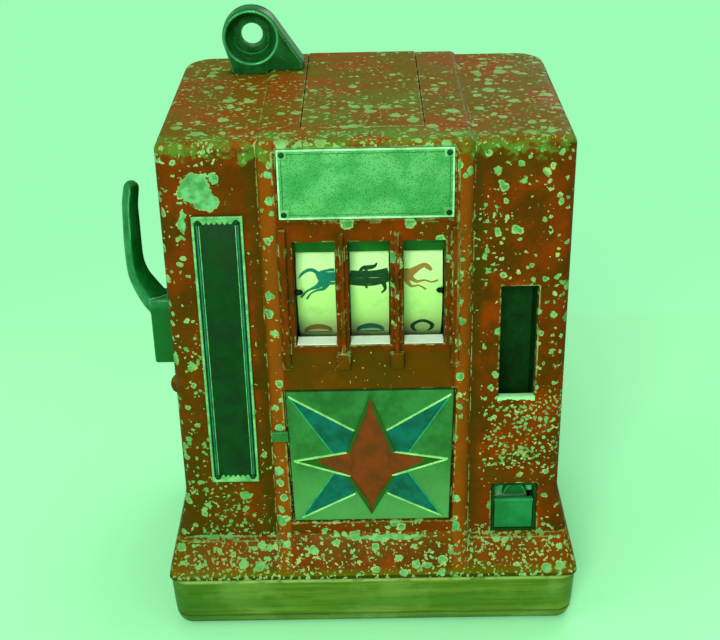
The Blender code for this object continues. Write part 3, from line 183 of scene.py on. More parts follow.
def along(axis, u, v, w):
    """The point with u and v across the axis and w along it."""
    return {"X": (w, u, v), "Y": (u, w, v), "Z": (u, v, w)}[axis]


def loft_mesh(rings, closed=True):
    """A skin through rings of equally many points, capped at both ends if closed."""
    bm = bmesh.new()
    loops = [[bm.verts.new(point) for point in ring] for ring in rings]
    for lower, upper in zip(loops, loops[1:]):
        for i in range(len(lower)):
            j = (i + 1) % len(lower)
            bm.faces.new((lower[i], lower[j], upper[j], upper[i]))
    if closed:
        bm.faces.new(loops[0][::-1])
        bm.faces.new(loops[-1])
    return bm


def prism_mesh(outline, axis, low, high):
    return loft_mesh([[along(axis, u, v, w) for u, v in outline] for w in (low, high)])


def arc(u0, v0, radius, start, stop, steps):
    turns = [math.radians(start + (stop - start) * i / steps) for i in range(steps + 1)]
    return [(u0 + radius * math.cos(t), v0 + radius * math.sin(t)) for t in turns]


def circle(u0, v0, radius, sides):
    turns = [2 * math.pi * i / sides for i in range(sides)]
    return [(u0 + radius * math.cos(t), v0 + radius * math.sin(t)) for t in turns]


def turned_mesh(axis, centre, profile, sides, closed=True):
    """A skin round an axis, from the profile's (place along the axis, radius) pairs."""
    rings = [[along(axis, u, v, w) for u, v in circle(*centre, r, sides)] for w, r in profile]
    return loft_mesh(rings, closed)


def rod_mesh(axis, centre, radius, low, high, sides=32):
    return turned_mesh(axis, centre, ((low, radius), (high, radius)), sides)


def shape(target, bm, operation):
    """Cuts or joins a bmesh into the target at once."""
    helper = new_object(target.name + "_tool", bm, [])
    step = target.modifiers.new("step", "BOOLEAN")
    step.operation, step.object, step.solver = operation, helper, "EXACT"
    graph = bpy.context.evaluated_depsgraph_get()
    mesh = bpy.data.meshes.new_from_object(target.evaluated_get(graph), depsgraph=graph)
    target.modifiers.clear()
    target.data = mesh
    bpy.data.objects.remove(helper)


def cut(target, bm):
    shape(target, bm, "DIFFERENCE")


def join(target, bm):
    shape(target, bm, "UNION")


# ---- Materials: colours are display values of 0 to 255 -----------------------------------------

def tone(red, green, blue):
    """Linear colour from display values."""
    def linear(value):
        share = value / 255
        return share / 12.92 if share <= 0.04045 else ((share + 0.055) / 1.055) ** 2.4
    return (linear(red), linear(green), linear(blue), 1.0)


class Value:
    """One output of a node, with arithmetic that adds math nodes."""

    def __init__(self, nodes, socket):
        self.nodes, self.socket = nodes, socket

    def math(self, operation, other=0.0):
        return self.nodes.node("Math", (self, other), operation=operation)

    def __add__(self, other):
        return self.math("ADD", other)

    def __sub__(self, other):
        return self.math("SUBTRACT", other)

    def __rsub__(self, other):
        return self.nodes.node("Math", (other, self), operation="SUBTRACT")

    def __mul__(self, other):
        return self.math("MULTIPLY", other)

    def __truediv__(self, other):
        return self.math("DIVIDE", other)

    def __lt__(self, other):
        return self.math("LESS_THAN", other)

    def __abs__(self):
        return self.math("ABSOLUTE")

    def most(self, other):
        return self.math("MAXIMUM", other)

    def plus(self, *shares):
        """This value plus each (value, share) product."""
        total = self
        for value, share in shares:
            total += value * share
        return total

    def ease(self, start, stop, low=0.0, high=1.0):
        """low at start, high at stop, eased between."""
        return self.nodes.node("MapRange", (self, start, stop, low, high), interpolation_type="SMOOTHSTEP")


class Nodes:
    """Adds nodes to a shader tree."""

    def __init__(self, tree):
        self.tree = tree

    def put(self, socket, value):
        if isinstance(value, Value):
            self.tree.links.new(value.socket, socket)
        else:
            socket.default_value = value

    def node(self, kind, inputs=(), out=0, **settings):
        """Adds a node with inputs by order or by key; gives one output, or a list for a tuple of outputs."""
        made = self.tree.nodes.new("ShaderNode" + kind)
        for key, value in settings.items():
            setattr(made, key, value)
        for key, value in inputs.items() if isinstance(inputs, dict) else enumerate(inputs):
            self.put(made.inputs[key], value)
        if isinstance(out, tuple):
            return [Value(self, made.outputs[key]) for key in out]
        return Value(self, made.outputs[out])

    def seen(self):
        """1 for rays that show a surface: straight, in a reflection or through glass."""
        rays = self.node("LightPath", (), ("Is Camera Ray", "Is Glossy Ray", "Is Transmission Ray"))
        return rays[0].most(rays[1]).most(rays[2])


class Look(Nodes):
    """A procedural material on one Principled shader."""

    def __init__(self, name, roughness=0.5, metallic=0.0, specular=0.16):
        self.material = bpy.data.materials.new(name)
        self.material.use_nodes = True
        super().__init__(self.material.node_tree)
        self.shader = self.tree.nodes["Principled BSDF"]
        values = {"Roughness": roughness, "Metallic": metallic, "Specular IOR Level": specular}
        for key, value in values.items():
            self.shader.inputs[key].default_value = value
        self.place = self.node("TexCoord", out="Object")

    def split(self, vector):
        return self.node("SeparateXYZ", (vector,), (0, 1, 2))

    def normals(self):
        return self.split(self.node("NewGeometry", out="Normal"))

    def vectors(self, operation, a, b, out=0):
        return self.node("VectorMath", (a, b), out, operation=operation)

    def stretched(self, *sizes):
        return self.vectors("MULTIPLY", self.place, sizes)

    def noise(self, scale, detail=3.0, rough=0.55, place=None, out="Fac"):
        inputs = {"Vector": place or self.place, "Scale": scale, "Detail": detail, "Roughness": rough}
        return self.node("TexNoise", inputs, out)

    def warped(self, scale, amount):
        """The coordinates pushed about by noise, so that shapes cut from them have ragged edges."""
        shift = self.vectors("SUBTRACT", self.noise(scale, 3.0, 0.6, out="Color"), (0.5, 0.5, 0.5))
        scaled = self.node("VectorMath", {0: shift, "Scale": amount}, operation="SCALE")
        return self.vectors("ADD", self.place, scaled)

    def cells(self, scale, place):
        """The distance to the nearest seed, and two random numbers of that seed."""
        distance, colour = self.node("TexVoronoi", {"Vector": place, "Scale": scale}, ("Distance", "Color"))
        return [distance] + self.node("SeparateColor", (colour,), (0, 1))

    def over(self, colour, *layers):
        """The colour under layers of (share, colour)."""
        def ready(value):
            return tone(*value) if isinstance(value, tuple) and len(value) == 3 else value
        for share, tint in layers:
            colour = self.node("Mix", {0: share, 6: ready(colour), 7: ready(tint)}, 2, data_type="RGBA")
        return colour

    def bevel(self, radius):
        return self.node("Bevel", {"Radius": radius}, samples=4)

    def edges(self, rounded, start, stop):
        """1 along the piece's edges and 0 on its open faces, from its rounded normal."""
        flat = self.node("NewGeometry", out="Normal")
        return (1.0 - self.vectors("DOT_PRODUCT", rounded, flat, "Value")).ease(start, stop)

    def open_share(self, distance):
        """1 in the open and 0 deep in a corner."""
        return self.node("AmbientOcclusion", {"Distance": distance}, "AO", samples=4)

    def bump(self, height, distance, strength, normal=None):
        inputs = {"Strength": strength, "Distance": distance, "Height": height}
        return self.node("Bump", {**inputs, "Normal": normal} if normal else inputs)

    def surface(self, value):
        self.put(self.tree.nodes["Material Output"].inputs["Surface"], value)
        return self.material

    def finish(self, colour, roughness=None, normal=None, metallic=None):
        values = {"Base Color": colour, "Roughness": roughness, "Normal": normal, "Metallic": metallic}
        for key, value in values.items():
            if value is not None:
                self.put(self.shader.inputs[key], value)
        return self.material


def chipped_paint(name):
    """Old red-brown paint over cast metal: mottled, chipped by region, bare along its edges, with painted
    light and shade on its tops, its stepped front and its corners.
    """
    look = Look(name, 0.42, specular=0.03)
    x, y, z = look.split(look.place)
    wide = abs(x)
    fore = y < -0.068
    torn = (look.noise(120.0, 3.0, 0.6) - 0.5) * 0.03

    # Regions of the cabinet, 1 inside and 0 outside
    up = look.normals()[2].ease(0.30, 0.75)
    side = wide.ease(0.1085, 0.1105)
    low = z.ease(0.074, 0.056)
    top_edge = (z + torn).ease(0.2985, 0.3020) * y.ease(-0.058, -0.068)
    left = x.ease(-0.092, -0.098) * z.ease(0.292, 0.25)
    left_low = x.ease(-0.058, -0.066) * z.ease(0.205, 0.12)
    right = x.ease(0.060, 0.074) * z.ease(0.085, 0.12, 0.3, 1.0)
    high = right * z.ease(0.15, 0.17)
    under = right * (z.ease(0.156, 0.150) * z.ease(0.096, 0.108))
    shoulder = wide.ease(0.0474, 0.0490) * wide.ease(0.0584, 0.0574) * fore
    cove = wide.ease(0.0568, 0.0578) * wide.ease(0.0665, 0.0600) * fore
    plain = x.ease(-0.064, -0.067) * x.ease(-0.074, -0.070) * fore
    centre = wide.ease(0.047, 0.044) * (z.ease(0.19, 0.184) * z.ease(0.15, 0.16))
    lid = up * (abs(x + 0.002).ease(0.035, 0.030) * y.ease(0.03, -0.02))

    # How many chips and how much fine dust a place has
    most_chipped = 0.72
    clouds = look.noise(20.0, 2.0) + look.noise(47.0, 2.0) * 0.6 - 0.8
    density = (clouds + 0.16).plus(
        (low, 0.40), (left, 0.46), (left_low, 0.34), (high, 0.50), (right, 0.12), (shoulder, 0.55),
        (up, 0.22), (lid, 0.45), (top_edge, 0.36), (side, 0.10), (cove, -0.30), (plain, -0.5), (centre, -0.2))
    density = density.math("MINIMUM", most_chipped)
    dust = (clouds * 1.5 - 0.12).plus(
        (low, 0.60), (left_low, 0.25), (under, 0.80), (up, 0.28), (top_edge, 0.35), (left, 0.10),
        (plain, -0.5))
    dust = dust.math("MINIMUM", most_chipped)

    # Chips: specks, four sizes of flake with a core of older metal, rubbed edges and the larger bare places
    ragged = look.warped(260.0, 0.0042)
    chips = (look.noise(430.0, 1.0, 0.5) + dust * 0.15).ease(0.70, 0.73) * 0.9
    core = 0.0
    for scale, share, small, large, amount in (
            (88.0, 0.55, 0.14, 0.38, density), (128.0, 0.86, 0.14, 0.42, density),
            (235.0, 0.50, 0.14, 0.42, density), (350.0, 0.95, 0.18, 0.46, dust)):
        distance, pick, size = look.cells(scale, ragged)
        inside = size.ease(0.0, 1.0, small, large) - distance
        here = pick < amount * share
        chips = chips.most(inside.ease(0.0, 0.05) * here)
        core = (inside.ease(0.05, 0.13) * here).most(core)
    rounded = look.bevel(0.0014)
    worn = look.edges(rounded, 0.001, 0.045) * z.ease(0.040, 0.044)
    runs = look.noise(110.0, 2.0, 0.6) * 0.8 + look.noise(330.0, 2.0, 0.6) * 0.55
    chips = chips.most((worn * 0.42 + (runs + density * 0.16)).ease(1.15, 1.19))
    outline = look.noise(150.0, 4.0, 0.7) * 2.6
    px, py, pz = look.split(ragged)
    for spot_x, spot_z, half_w, half_h in BARE_SPOTS:
        dx, dz = (px - spot_x) / half_w, (pz - spot_z) / half_h
        reach = dx * dx + dz * dz + outline
        chips = chips.most(reach.ease(2.2, 2.1) * (py < COLUMN_FRONT + 0.004))
        core = core.most(reach.ease(2.06, 1.96) * (py < COLUMN_FRONT + 0.004))
    lip = (abs(x - TOKEN_X) < TOKEN_W / 2 + 0.0006) * fore
    lip = lip * (z.ease(TOKEN_LOW + 0.0006, TOKEN_LOW + 0.0003)
                 * (z + torn * 0.3).ease(TOKEN_LOW - 0.0022, TOKEN_LOW - 0.0016))

    # Paint, metal, and the two together
    mottle, grain = look.noise(52.0, 5.0, 0.62), look.noise(620.0, 2.0, 0.6)
    # Lighter green along the top front edge, broken by noise: wear and painted highlight
    rubbed = top_edge * look.noise(95.0, 4.0, 0.65).ease(0.40, 0.58)
    # The colour of the tops, lighter than the front: painted light from above
    lit_top_olive = look.over((104, 84, 0), (look.noise(23.0, 4.0).ease(0.42, 0.60), (132, 66, 0)))
    paint = look.over(
        (74, 40, 0), (mottle.ease(0.36, 0.62), (108, 42, 0)),
        (look.noise(38.0, 5.0, 0.65).ease(0.50, 0.68, 0.0, 0.8), (140, 50, 0)),
        # Painted highlight on the centre section's rounded shoulder
        (look.noise(21.0, 3.0).ease(0.54, 0.68, 0.0, 0.6), (62, 56, 0)), (shoulder * 0.5, (148, 80, 10)),
        # Painted shadow in the coves beside the shoulder, and painted shade below the window frame; between
        # them a redder band on the left column
        (cove * 0.6, (50, 48, 0)), (plain * 0.45, (96, 38, 0)), (centre * 0.65, (74, 56, 0)),
        (left_low * 0.15, (64, 62, 0)), (left * z.ease(0.235, 0.20) * 0.45, (56, 52, 0)),
        # A greener band at the case's foot, then a painted shadow line where the case meets the base
        (z.ease(0.0445, 0.0385) * 0.85, (84, 92, 0)), (z.ease(0.0386, 0.0374) * 0.9, (12, 42, 0)),
        # Upward faces take the lighter top colour as painted light
        (up * 0.85, lit_top_olive), (lid * look.noise(60.0, 4.0).ease(0.4, 0.6, 0.1, 0.65), (84, 112, 30)),
        (grain.ease(0.34, 0.74) * 0.30, (66, 64, 0)), (rubbed * 0.85, (72, 124, 34)),
        # Painted shade in corners and recesses
        (look.open_share(0.006).ease(0.35, 0.92, 0.8, 0.0), (30, 34, 0)))
    pale = look.over((160, 186, 104), (look.noise(150.0, 3.0).ease(0.42, 0.60), (106, 156, 76)))
    metal = look.over((104, 178, 112), (look.noise(190.0, 4.0).ease(0.35, 0.66), (68, 136, 72)))
    bare = look.over(pale, (core, metal), (up * 0.55, (126, 164, 78)), (left_low * 0.5, (92, 146, 70)))
    colour = look.over(paint, (chips, bare), (lip, (150, 236, 150)))
    height = chips * -0.55 + look.noise(330.0, 3.0, 0.6) * 0.32 + mottle * 0.5
    roughness = look.noise(90.0).ease(0.3, 0.7, 0.42, 0.6) + chips * 0.06
    return look.finish(colour, roughness, look.bump(height, 0.00035, 0.9, rounded), core * 0.15)


def worn_metal(name, bright, dark, roughness=0.4, metallic=0.6, edge=None, scale=60.0, fade=None):
    """Bare or plated metal: cloudy tarnish, fine scratches, rubbed edges, and a fade downwards."""
    look = Look(name, roughness, metallic)
    rounded = look.bevel(0.0006)
    cloud, spots = look.noise(scale, 5.0, 0.65), look.noise(scale * 7, 3.0, 0.7)
    scratch = look.noise(900.0, 2.0, 0.6, look.stretched(1.0, 1.0, 0.12))
    pits = tuple(0.45 * c for c in tone(*dark)[:3]) + (1.0,)
    colour = look.over(bright, (cloud.ease(0.34, 0.68), dark), (scratch.ease(0.5, 0.8) * 0.35, dark),
                       (spots.ease(0.62, 0.74) * 0.6, pits))
    if fade:
        start, stop, tint = fade
        colour = look.over(colour, (look.split(look.place)[2].ease(start, stop, 0.0, 0.55), tint))
    if edge:
        edge_tint = look.edges(rounded, 0.006, 0.12) + look.noise(170.0, 3.0) * 0.5
        colour = look.over(colour, (edge_tint.ease(0.62, 1.05), edge))
    rough = cloud.ease(0.3, 0.7, roughness * 0.8, min(0.9, roughness * 1.35))
    return look.finish(colour, rough, look.bump(scratch * 0.3 + spots * 0.5, 0.00012, 0.7, rounded))


def stippled_metal(name):
    """The plate's field: fine stipple over plated metal, with tarnish in its pits."""
    look = Look(name, 0.45, 0.15)
    pits = look.cells(1000.0, look.place)[0].ease(0.12, 0.5)
    colour = look.over((60, 150, 76), (look.noise(70.0, 4.0).ease(0.35, 0.65), (90, 172, 98)),
                       ((1.0 - pits) * 0.75, (20, 96, 36)))
    normal = look.bump(pits, 0.00018, 0.9, look.bevel(0.0003))
    return look.finish(colour, pits.ease(0.0, 1.0, 0.6, 0.38), normal)


def enamel(name, main, deep, bare, wear=0.70):
    """Brushed-on enamel in a relief: uneven, a little dusty, rubbed through in small spots."""
    look = Look(name, 0.38)
    cloud = look.noise(110.0, 4.0, 0.6)
    streak = look.noise(520.0, 3.0, 0.6, look.stretched(1.0, 1.0, 0.35))
    spots = look.noise(330.0, 4.0, 0.7).ease(wear, wear + 0.05)
    colour = look.over(main, (cloud.ease(0.35, 0.66), deep), (streak.ease(0.45, 0.75) * 0.3, deep),
                       (spots * 0.8, bare))
    normal = look.bump(streak * 0.4 + spots * -0.6, 0.00014, 0.8)
    return look.finish(colour, cloud.ease(0.3, 0.7, 0.30, 0.5), normal)


def dark_enamel(name):
    """Black japanned casting, lighter on its edges and its handled places: rubbed wear with painted
    highlight.
    """
    look = Look(name, 0.42)
    rounded = look.bevel(0.0014)
    cloud, specks = look.noise(85.0, 5.0, 0.65), look.noise(800.0, 2.0).ease(0.66, 0.72)
    # Lighter edges: wear and painted highlight, kept out of corners
    edge_tint = look.edges(rounded, 0.003, 0.09) + look.noise(220.0, 3.0) * 0.45
    edge_tint = edge_tint.ease(0.45, 1.15) * look.open_share(0.012).ease(0.5, 0.85)
    colour = look.over((0, 60, 8), (cloud.ease(0.35, 0.68), (6, 88, 24)), (edge_tint, (70, 160, 96)),
                       (specks * 0.5, (70, 160, 90)))
    height = look.noise(420.0, 3.0, 0.6) * 0.6 + specks * 0.3
    return look.finish(colour, cloud.ease(0.3, 0.7, 0.26, 0.42), look.bump(height, 0.0002, 0.7, rounded))


def lever_enamel(name):
    """The lever's enamel: a lit copy on the faces turned away from the case as painted light, a dark copy on
    those towards it as painted shade with some tarnish, and lighter edges that are wear and painted
    highlight.
    """
    look = Look(name, 0.32, 0.08)
    rounded = look.bevel(0.0010)
    nx, ny = look.normals()[:2]
    cloud, specks = look.noise(90.0, 5.0, 0.65), look.noise(700.0, 2.0).ease(0.64, 0.70)
    clouded = cloud.ease(0.35, 0.68)
    # Lit and shaded copies of the enamel: painted light on faces turned from the case, painted shade with
    # tarnish on faces towards it
    light = look.over((36, 126, 70), (clouded, (14, 98, 46)))
    dark = look.over((0, 64, 12), (clouded, (4, 86, 26)))
    foot = look.split(look.place)[2].ease(0.200, 0.196) * ny.ease(-0.4, -0.7)
    # Lighter edges: wear and painted highlight
    edge_tint = look.edges(rounded, 0.004, 0.10) + look.noise(230.0, 3.0) * 0.45
    colour = look.over(light, ((nx + cloud * 0.2).ease(-0.10, 0.42), dark), (foot * 0.85, (12, 88, 22)),
                       (edge_tint.ease(0.5, 1.2), (120, 214, 140)), (specks * 0.4, (20, 96, 40)))
    height = look.noise(380.0, 3.0, 0.6) * 0.6 + specks * 0.3
    return look.finish(colour, cloud.ease(0.3, 0.7, 0.26, 0.42), look.bump(height, 0.0002, 0.7, rounded))


def varnished_wood(name):
    """Stained board: grain that runs level round the base, a darker band across its middle, a painted
    highlight along its top arris and painted shade in its corners.
    """
    look = Look(name, 0.36)
    x, _, z = look.split(look.place)
    waves = look.noise(9.0, 4.0, 0.6, look.stretched(1.3, 1.3, 26.0))
    lines = look.noise(24.0, 5.0, 0.7, look.stretched(1.0, 1.0, 42.0))
    pores = look.noise(60.0, 3.0, 0.7, look.stretched(1.0, 1.0, 22.0))
    band = z.ease(0.0125, 0.0165) * z.ease(0.0245, 0.0200)
    # Lighter line along the top arris: painted highlight
    arris = z.ease(0.0330, 0.0350) * look.noise(70.0, 3.0).ease(0.34, 0.5)
    colour = look.over(
        (92, 126, 30), (waves.ease(0.38, 0.62), (66, 104, 12)), (lines.ease(0.44, 0.68) * 0.36, (48, 92, 8)),
        (x.ease(-0.070, -0.11, 0.0, 0.6), (34, 86, 8)),
        (look.noise(40.0, 4.0).ease(0.46, 0.66, 0.0, 0.45), (110, 148, 62)),
        (pores.ease(0.56, 0.70) * 0.5, (36, 78, 6)),
        (band * look.noise(9.0, 2.0).ease(0.3, 0.6, 0.1, 0.45), (46, 100, 12)), (arris * 0.7, (146, 184, 88)),
        # Painted shade in corners
        (look.open_share(0.004).ease(0.4, 0.95, 0.7, 0.0), (24, 52, 6)))
    normal = look.bump(lines * 0.6 + pores * -0.8, 0.00025, 0.7, look.bevel(0.0008))
    return look.finish(colour, lines.ease(0.3, 0.7, 0.3, 0.46), normal)


def aged_paper(name, top, low):
    """Printed strip paper: yellowed downward, with fibres and a little soiling."""
    look = Look(name, 0.8)
    fibres = look.noise(900.0, 3.0, 0.6, look.stretched(0.35, 1.0, 1.0))
    colour = look.over(top, (look.split(look.place)[2].ease(0.236, 0.212), low),
                       (look.noise(70.0, 4.0, 0.6).ease(0.5, 0.75) * 0.25, (120, 190, 70)),
                       (fibres.ease(0.5, 0.8) * 0.16, (96, 160, 60)))
    return look.finish(colour, None, look.bump(fibres, 0.00008, 0.6))


def ink(name, main, thin):
    """Printing ink laid a little unevenly on the paper."""
    look = Look(name, 0.7)
    cloud = look.noise(420.0, 4.0, 0.7)
    return look.finish(look.over(main, (cloud.ease(0.45, 0.72), thin)), cloud.ease(0.3, 0.7, 0.6, 0.8))


def pane(name):
    """Clear glass: see-through, with a sharp reflection that grows towards its edges."""
    look = Look(name)
    clear = look.node("BsdfTransparent", {"Color": (0.93, 1.0, 0.93, 1.0)})
    gloss = look.node("BsdfGlossy", {"Roughness": 0.03, "Color": (0.35, 0.45, 0.35, 1.0)})
    return look.surface(look.node("MixShader", (look.node("Fresnel", {"IOR": 1.35}), clear, gloss)))


PAINT = chipped_paint("chipped_paint")
DARK = dark_enamel("dark_enamel")
WOOD = varnished_wood("varnished_wood")
STEEL = worn_metal("dull_steel", (104, 176, 112), (54, 120, 66), 0.42, 0.7)
IRON = worn_metal("dark_iron", (36, 128, 62), (12, 84, 34), 0.45, 0.5, (92, 176, 108))
DRUM = worn_metal("drum_metal", (52, 132, 66), (22, 90, 38), 0.5, 0.5)
BRASS = worn_metal("old_brass", (176, 178, 60), (120, 130, 30), 0.35, 0.8)
FIELD = worn_metal("plate_metal", (48, 122, 55), (30, 94, 34), 0.46, 0.15,
                   fade=(0.130, 0.080, (90, 158, 84)))
RIM = worn_metal("bright_rim", (178, 244, 182), (120, 196, 130), 0.38, 0.15, None, 130.0)
GUARD = worn_metal("guard_plate", (96, 204, 120), (52, 148, 76), 0.42, 0.15, None, 120.0)
STIPPLE = stippled_metal("stippled_metal")
NAME_DARK = enamel("name_field", (0, 56, 10), (0, 42, 4), (40, 120, 50), 0.76)
NAME_LINE = enamel("name_line", (20, 120, 92), (6, 92, 60), (120, 200, 140), 0.70)
RED = enamel("star_red", (118, 46, 0), (90, 44, 0), (124, 104, 24), 0.70)
BLUE = enamel("star_blue", (0, 98, 82), (0, 74, 52), (40, 150, 120), 0.74)
PAPER = aged_paper("reel_paper", (236, 255, 194), (222, 255, 160))
CARD = aged_paper("sill_card", (236, 255, 232), (230, 255, 226))
TEAL_INK = ink("teal_ink", (0, 116, 104), (30, 140, 110))
BLACK_INK = ink("black_ink", (2, 52, 20), (20, 84, 40))
ORANGE_INK = ink("orange_ink", (176, 116, 52), (168, 150, 70))
FRAME = worn_metal("name_frame", (124, 196, 122), (72, 146, 78), 0.42, 0.15, None, 130.0)
# Lit and shaded copies of the ridge metal: painted light on the bright lines, painted shade on the dim ones
LIT_RIDGE = worn_metal("ridge_painted_light", (160, 230, 140), (112, 190, 92), 0.36, 0.15, None, 120.0)
SHADED_RIDGE = worn_metal("ridge_painted_shade", (40, 168, 110), (28, 132, 84), 0.4, 0.15, None, 120.0)
# Painted shade: the dark green on the star's sloping flanks and the ends of its side arms
FLANK_SHADE = enamel("star_flank_shade", (24, 84, 10), (40, 70, 4), (60, 140, 60), 0.75)
LEVER = lever_enamel("lever_enamel")
FLAP = worn_metal("flap_metal", (30, 132, 70), (22, 106, 52), 0.42, 0.2, (70, 170, 96), 50.0)
FLAP_DARK = worn_metal("dome_metal", (12, 104, 40), (4, 80, 26), 0.4, 0.15, (96, 190, 112), 60.0)
TIN = worn_metal("tinned_steel", (122, 190, 124), (66, 132, 76), 0.36, 0.75, (170, 226, 160), 34.0)
SPRING = worn_metal("polished_steel", (140, 200, 144), (84, 150, 92), 0.28, 0.85, None, 120.0)
# Near-black for the token tube and payout cup inside the case: painted shade
INSIDE_SHADE = worn_metal("painted_inside_shade", (4, 62, 8), (0, 44, 2), 0.6, 0.15, None, 90.0)
PIN = worn_metal("pin_iron", (10, 64, 18), (0, 34, 4), 0.5, 0.1, None, 160.0)
CLIP = worn_metal("clip_metal", (40, 108, 44), (14, 66, 18), 0.46, 0.1, (84, 160, 88), 80.0)
# Painted shade: the dark sheet behind the top of the window glass
SHADE = enamel("painted_shade_card", (4, 104, 6), (0, 78, 2), (24, 120, 24), 0.8)
BEAD_RIM = worn_metal("cup_bead", (64, 176, 96), (26, 116, 52), 0.34, 0.35, (120, 220, 140), 60.0)
BEAD = worn_metal("black_bead", (4, 30, 6), (0, 18, 2), 0.3, 0.1)
GLASS = pane("clear_glass")


# ---- Cast cabinet ------------------------------------------------------------------------------

def section(half_w, front, back, front_r, back_r, z):
    points = arc(half_w - front_r, front + front_r, front_r, -90, 0, 8)
    points += arc(half_w - back_r, back - back_r, back_r, 0, 90, 10)
    points += arc(-half_w + back_r, back - back_r, back_r, 90, 180, 10)
    points += arc(-half_w + front_r, front + front_r, front_r, 180, 270, 8)
    return [(x, y, z) for x, y in points]


def rounded_top(half_w, front, back, front_r, back_r, top, radius, turns):
    """The sections that round a casting's top over."""
    rings = []
    for turn in turns:
        inset = radius * (1 - math.cos(math.radians(turn)))
        z = top - radius * (1 - math.sin(math.radians(turn)))
        rings.append(section(half_w - inset, front + inset, back - inset, front_r - inset, back_r - inset, z))
    return rings


def share_between(z, low, high):
    return min(1, max(0, (z - low) / (high - low)))


def apron(z, lip_z=LIP_Z, lip=APRON_LIP):
    """How far the foot of the front stands out at a height."""
    return 0 if z > lip_z else lip + (APRON_PROUD - lip) * share_between(-z, -lip_z, -CASE_BOTTOM)


def column_rings():
    heights = [CASE_BOTTOM, 0.040, 0.0445, 0.049, 0.053, LIP_Z, APRON_TOP, 0.062, 0.067, 0.0705, 0.074,
               0.078, 0.082, 0.086, FLARE_TOP]
    rings, corners = [], (FRONT_CORNER, BACK_CORNER)
    for z in heights:
        flare = SIDE_FLARE * share_between(-z, -FLARE_TOP, -CASE_BOTTOM - 0.002) ** 1.2
        rings.append(section(CASE_W / 2 + flare, COLUMN_FRONT - apron(z), CASE_BACK, *corners, z))
    return rings + rounded_top(CASE_W / 2, COLUMN_FRONT, CASE_BACK, *corners, CASE_TOP, TOP_ROUND,
                               range(0, 91, 15))


def centre_rings():
    shoulder, lip = CENTRE_PROUD + 0.001, CENTRE_PROUD + APRON_LIP
    back, low = CASE_BACK - 0.001, CASE_BOTTOM + 0.001
    fronts = [(low, COLUMN_FRONT - apron(low, LEDGE_LOW, lip) + 0.0004), (LEDGE_LOW, COLUMN_FRONT - lip),
              (LEDGE_TOP, CENTRE_FRONT - 0.0002), (LEDGE_TOP + 0.0005, CENTRE_FRONT)]
    rings = [section(CENTRE_W / 2, front, back, shoulder, 0.004, z) for z, front in fronts]
    return rings + rounded_top(CENTRE_W / 2, CENTRE_FRONT, back, shoulder, 0.0041, CENTRE_TOP,
                               TOP_ROUND - 0.001, (0, 15, 30, 45, 60, 75, 88))


def rect(x_low, x_high, z_low, z_high, grow=0.0):
    return [(x_low - grow, z_low - grow), (x_high + grow, z_low - grow), (x_high + grow, z_high + grow),
            (x_low - grow, z_high + grow)]


def drafted_cut(case, outline, face, inside):
    """Cuts an opening whose arris is drafted, so that its edge catches the light; outline(grow) gives it."""
    steps = ((face - 0.012, DRAFT * 3), (face - 0.0001, DRAFT), (face + DRAFT, DRAFT * 0.35),
             (face + DRAFT * 2, 0.0), (inside, 0.0))
    cut(case, loft_mesh([[(x, y, z) for x, z in outline(grow)] for y, grow in steps]))


def star_outline(grow):
    top, bottom = STAR_TOP_W / 2 + grow, STAR_BOTTOM_W / 2 + grow
    return [(-bottom, STAR_LOW - grow), (bottom, STAR_LOW - grow), (top, STAR_HIGH + grow),
            (-top, STAR_HIGH + grow)]


def payout_outline(grow):
    left, right = PAYOUT_X - PAYOUT_W / 2 - grow, PAYOUT_X + PAYOUT_W / 2 + grow
    low, high, r = PAYOUT_LOW - grow, PAYOUT_HIGH + grow, PAYOUT_CORNER
    return ([(left, low), (right, low)] + arc(right - r, high - r, r, 0, 90, 5)
            + arc(left + r, high - r, r, 90, 180, 5))


def corners_of(centre_x, width, low, high, inset):
    half = width / 2 - inset
    return [(centre_x + side * half, z) for side in (-1, 1) for z in (low + inset, high - inset)]


AWARD_PINS = corners_of(0, PLATE_W, PLATE_LOW, PLATE_HIGH, AWARD_PIN_INSET)
NAME_PINS = corners_of(NAME_X, NAME_W, NAME_LOW, NAME_HIGH, NAME_PIN_INSET)


def cut_front(case):
    inside = INNER_FRONT + BEYOND
    openings = [(x, WINDOW_W / 2, WINDOW_LOW, WINDOW_HIGH, CENTRE_FRONT) for x in REEL_XS]
    for x, half, low, high, face in openings + [(TOKEN_X, TOKEN_W / 2, TOKEN_LOW, TOKEN_HIGH, COLUMN_FRONT)]:
        drafted_cut(case, lambda grow: rect(x - half, x + half, low, high, grow), face, inside)
    drafted_cut(case, payout_outline, COLUMN_FRONT, inside)
    drafted_cut(case, star_outline, CENTRE_FRONT, CENTRE_FRONT + STAR_DEPTH)
    half = PLATE_W / 2 + GAP
    cut(case, box_mesh((-half, CENTRE_FRONT - 0.02, PLATE_LOW - GAP),
                       (half, CENTRE_FRONT + PLATE_SEAT, PLATE_HIGH + GAP)))
    for places, seat in ((AWARD_PINS, CENTRE_FRONT + PLATE_SEAT), (NAME_PINS, COLUMN_FRONT)):
        for x, z in places:
            cut(case, rod_mesh("Y", (x, z), PIN_SHANK_R + GAP, seat - 0.02, seat + PIN_DEPTH + GAP, 10))


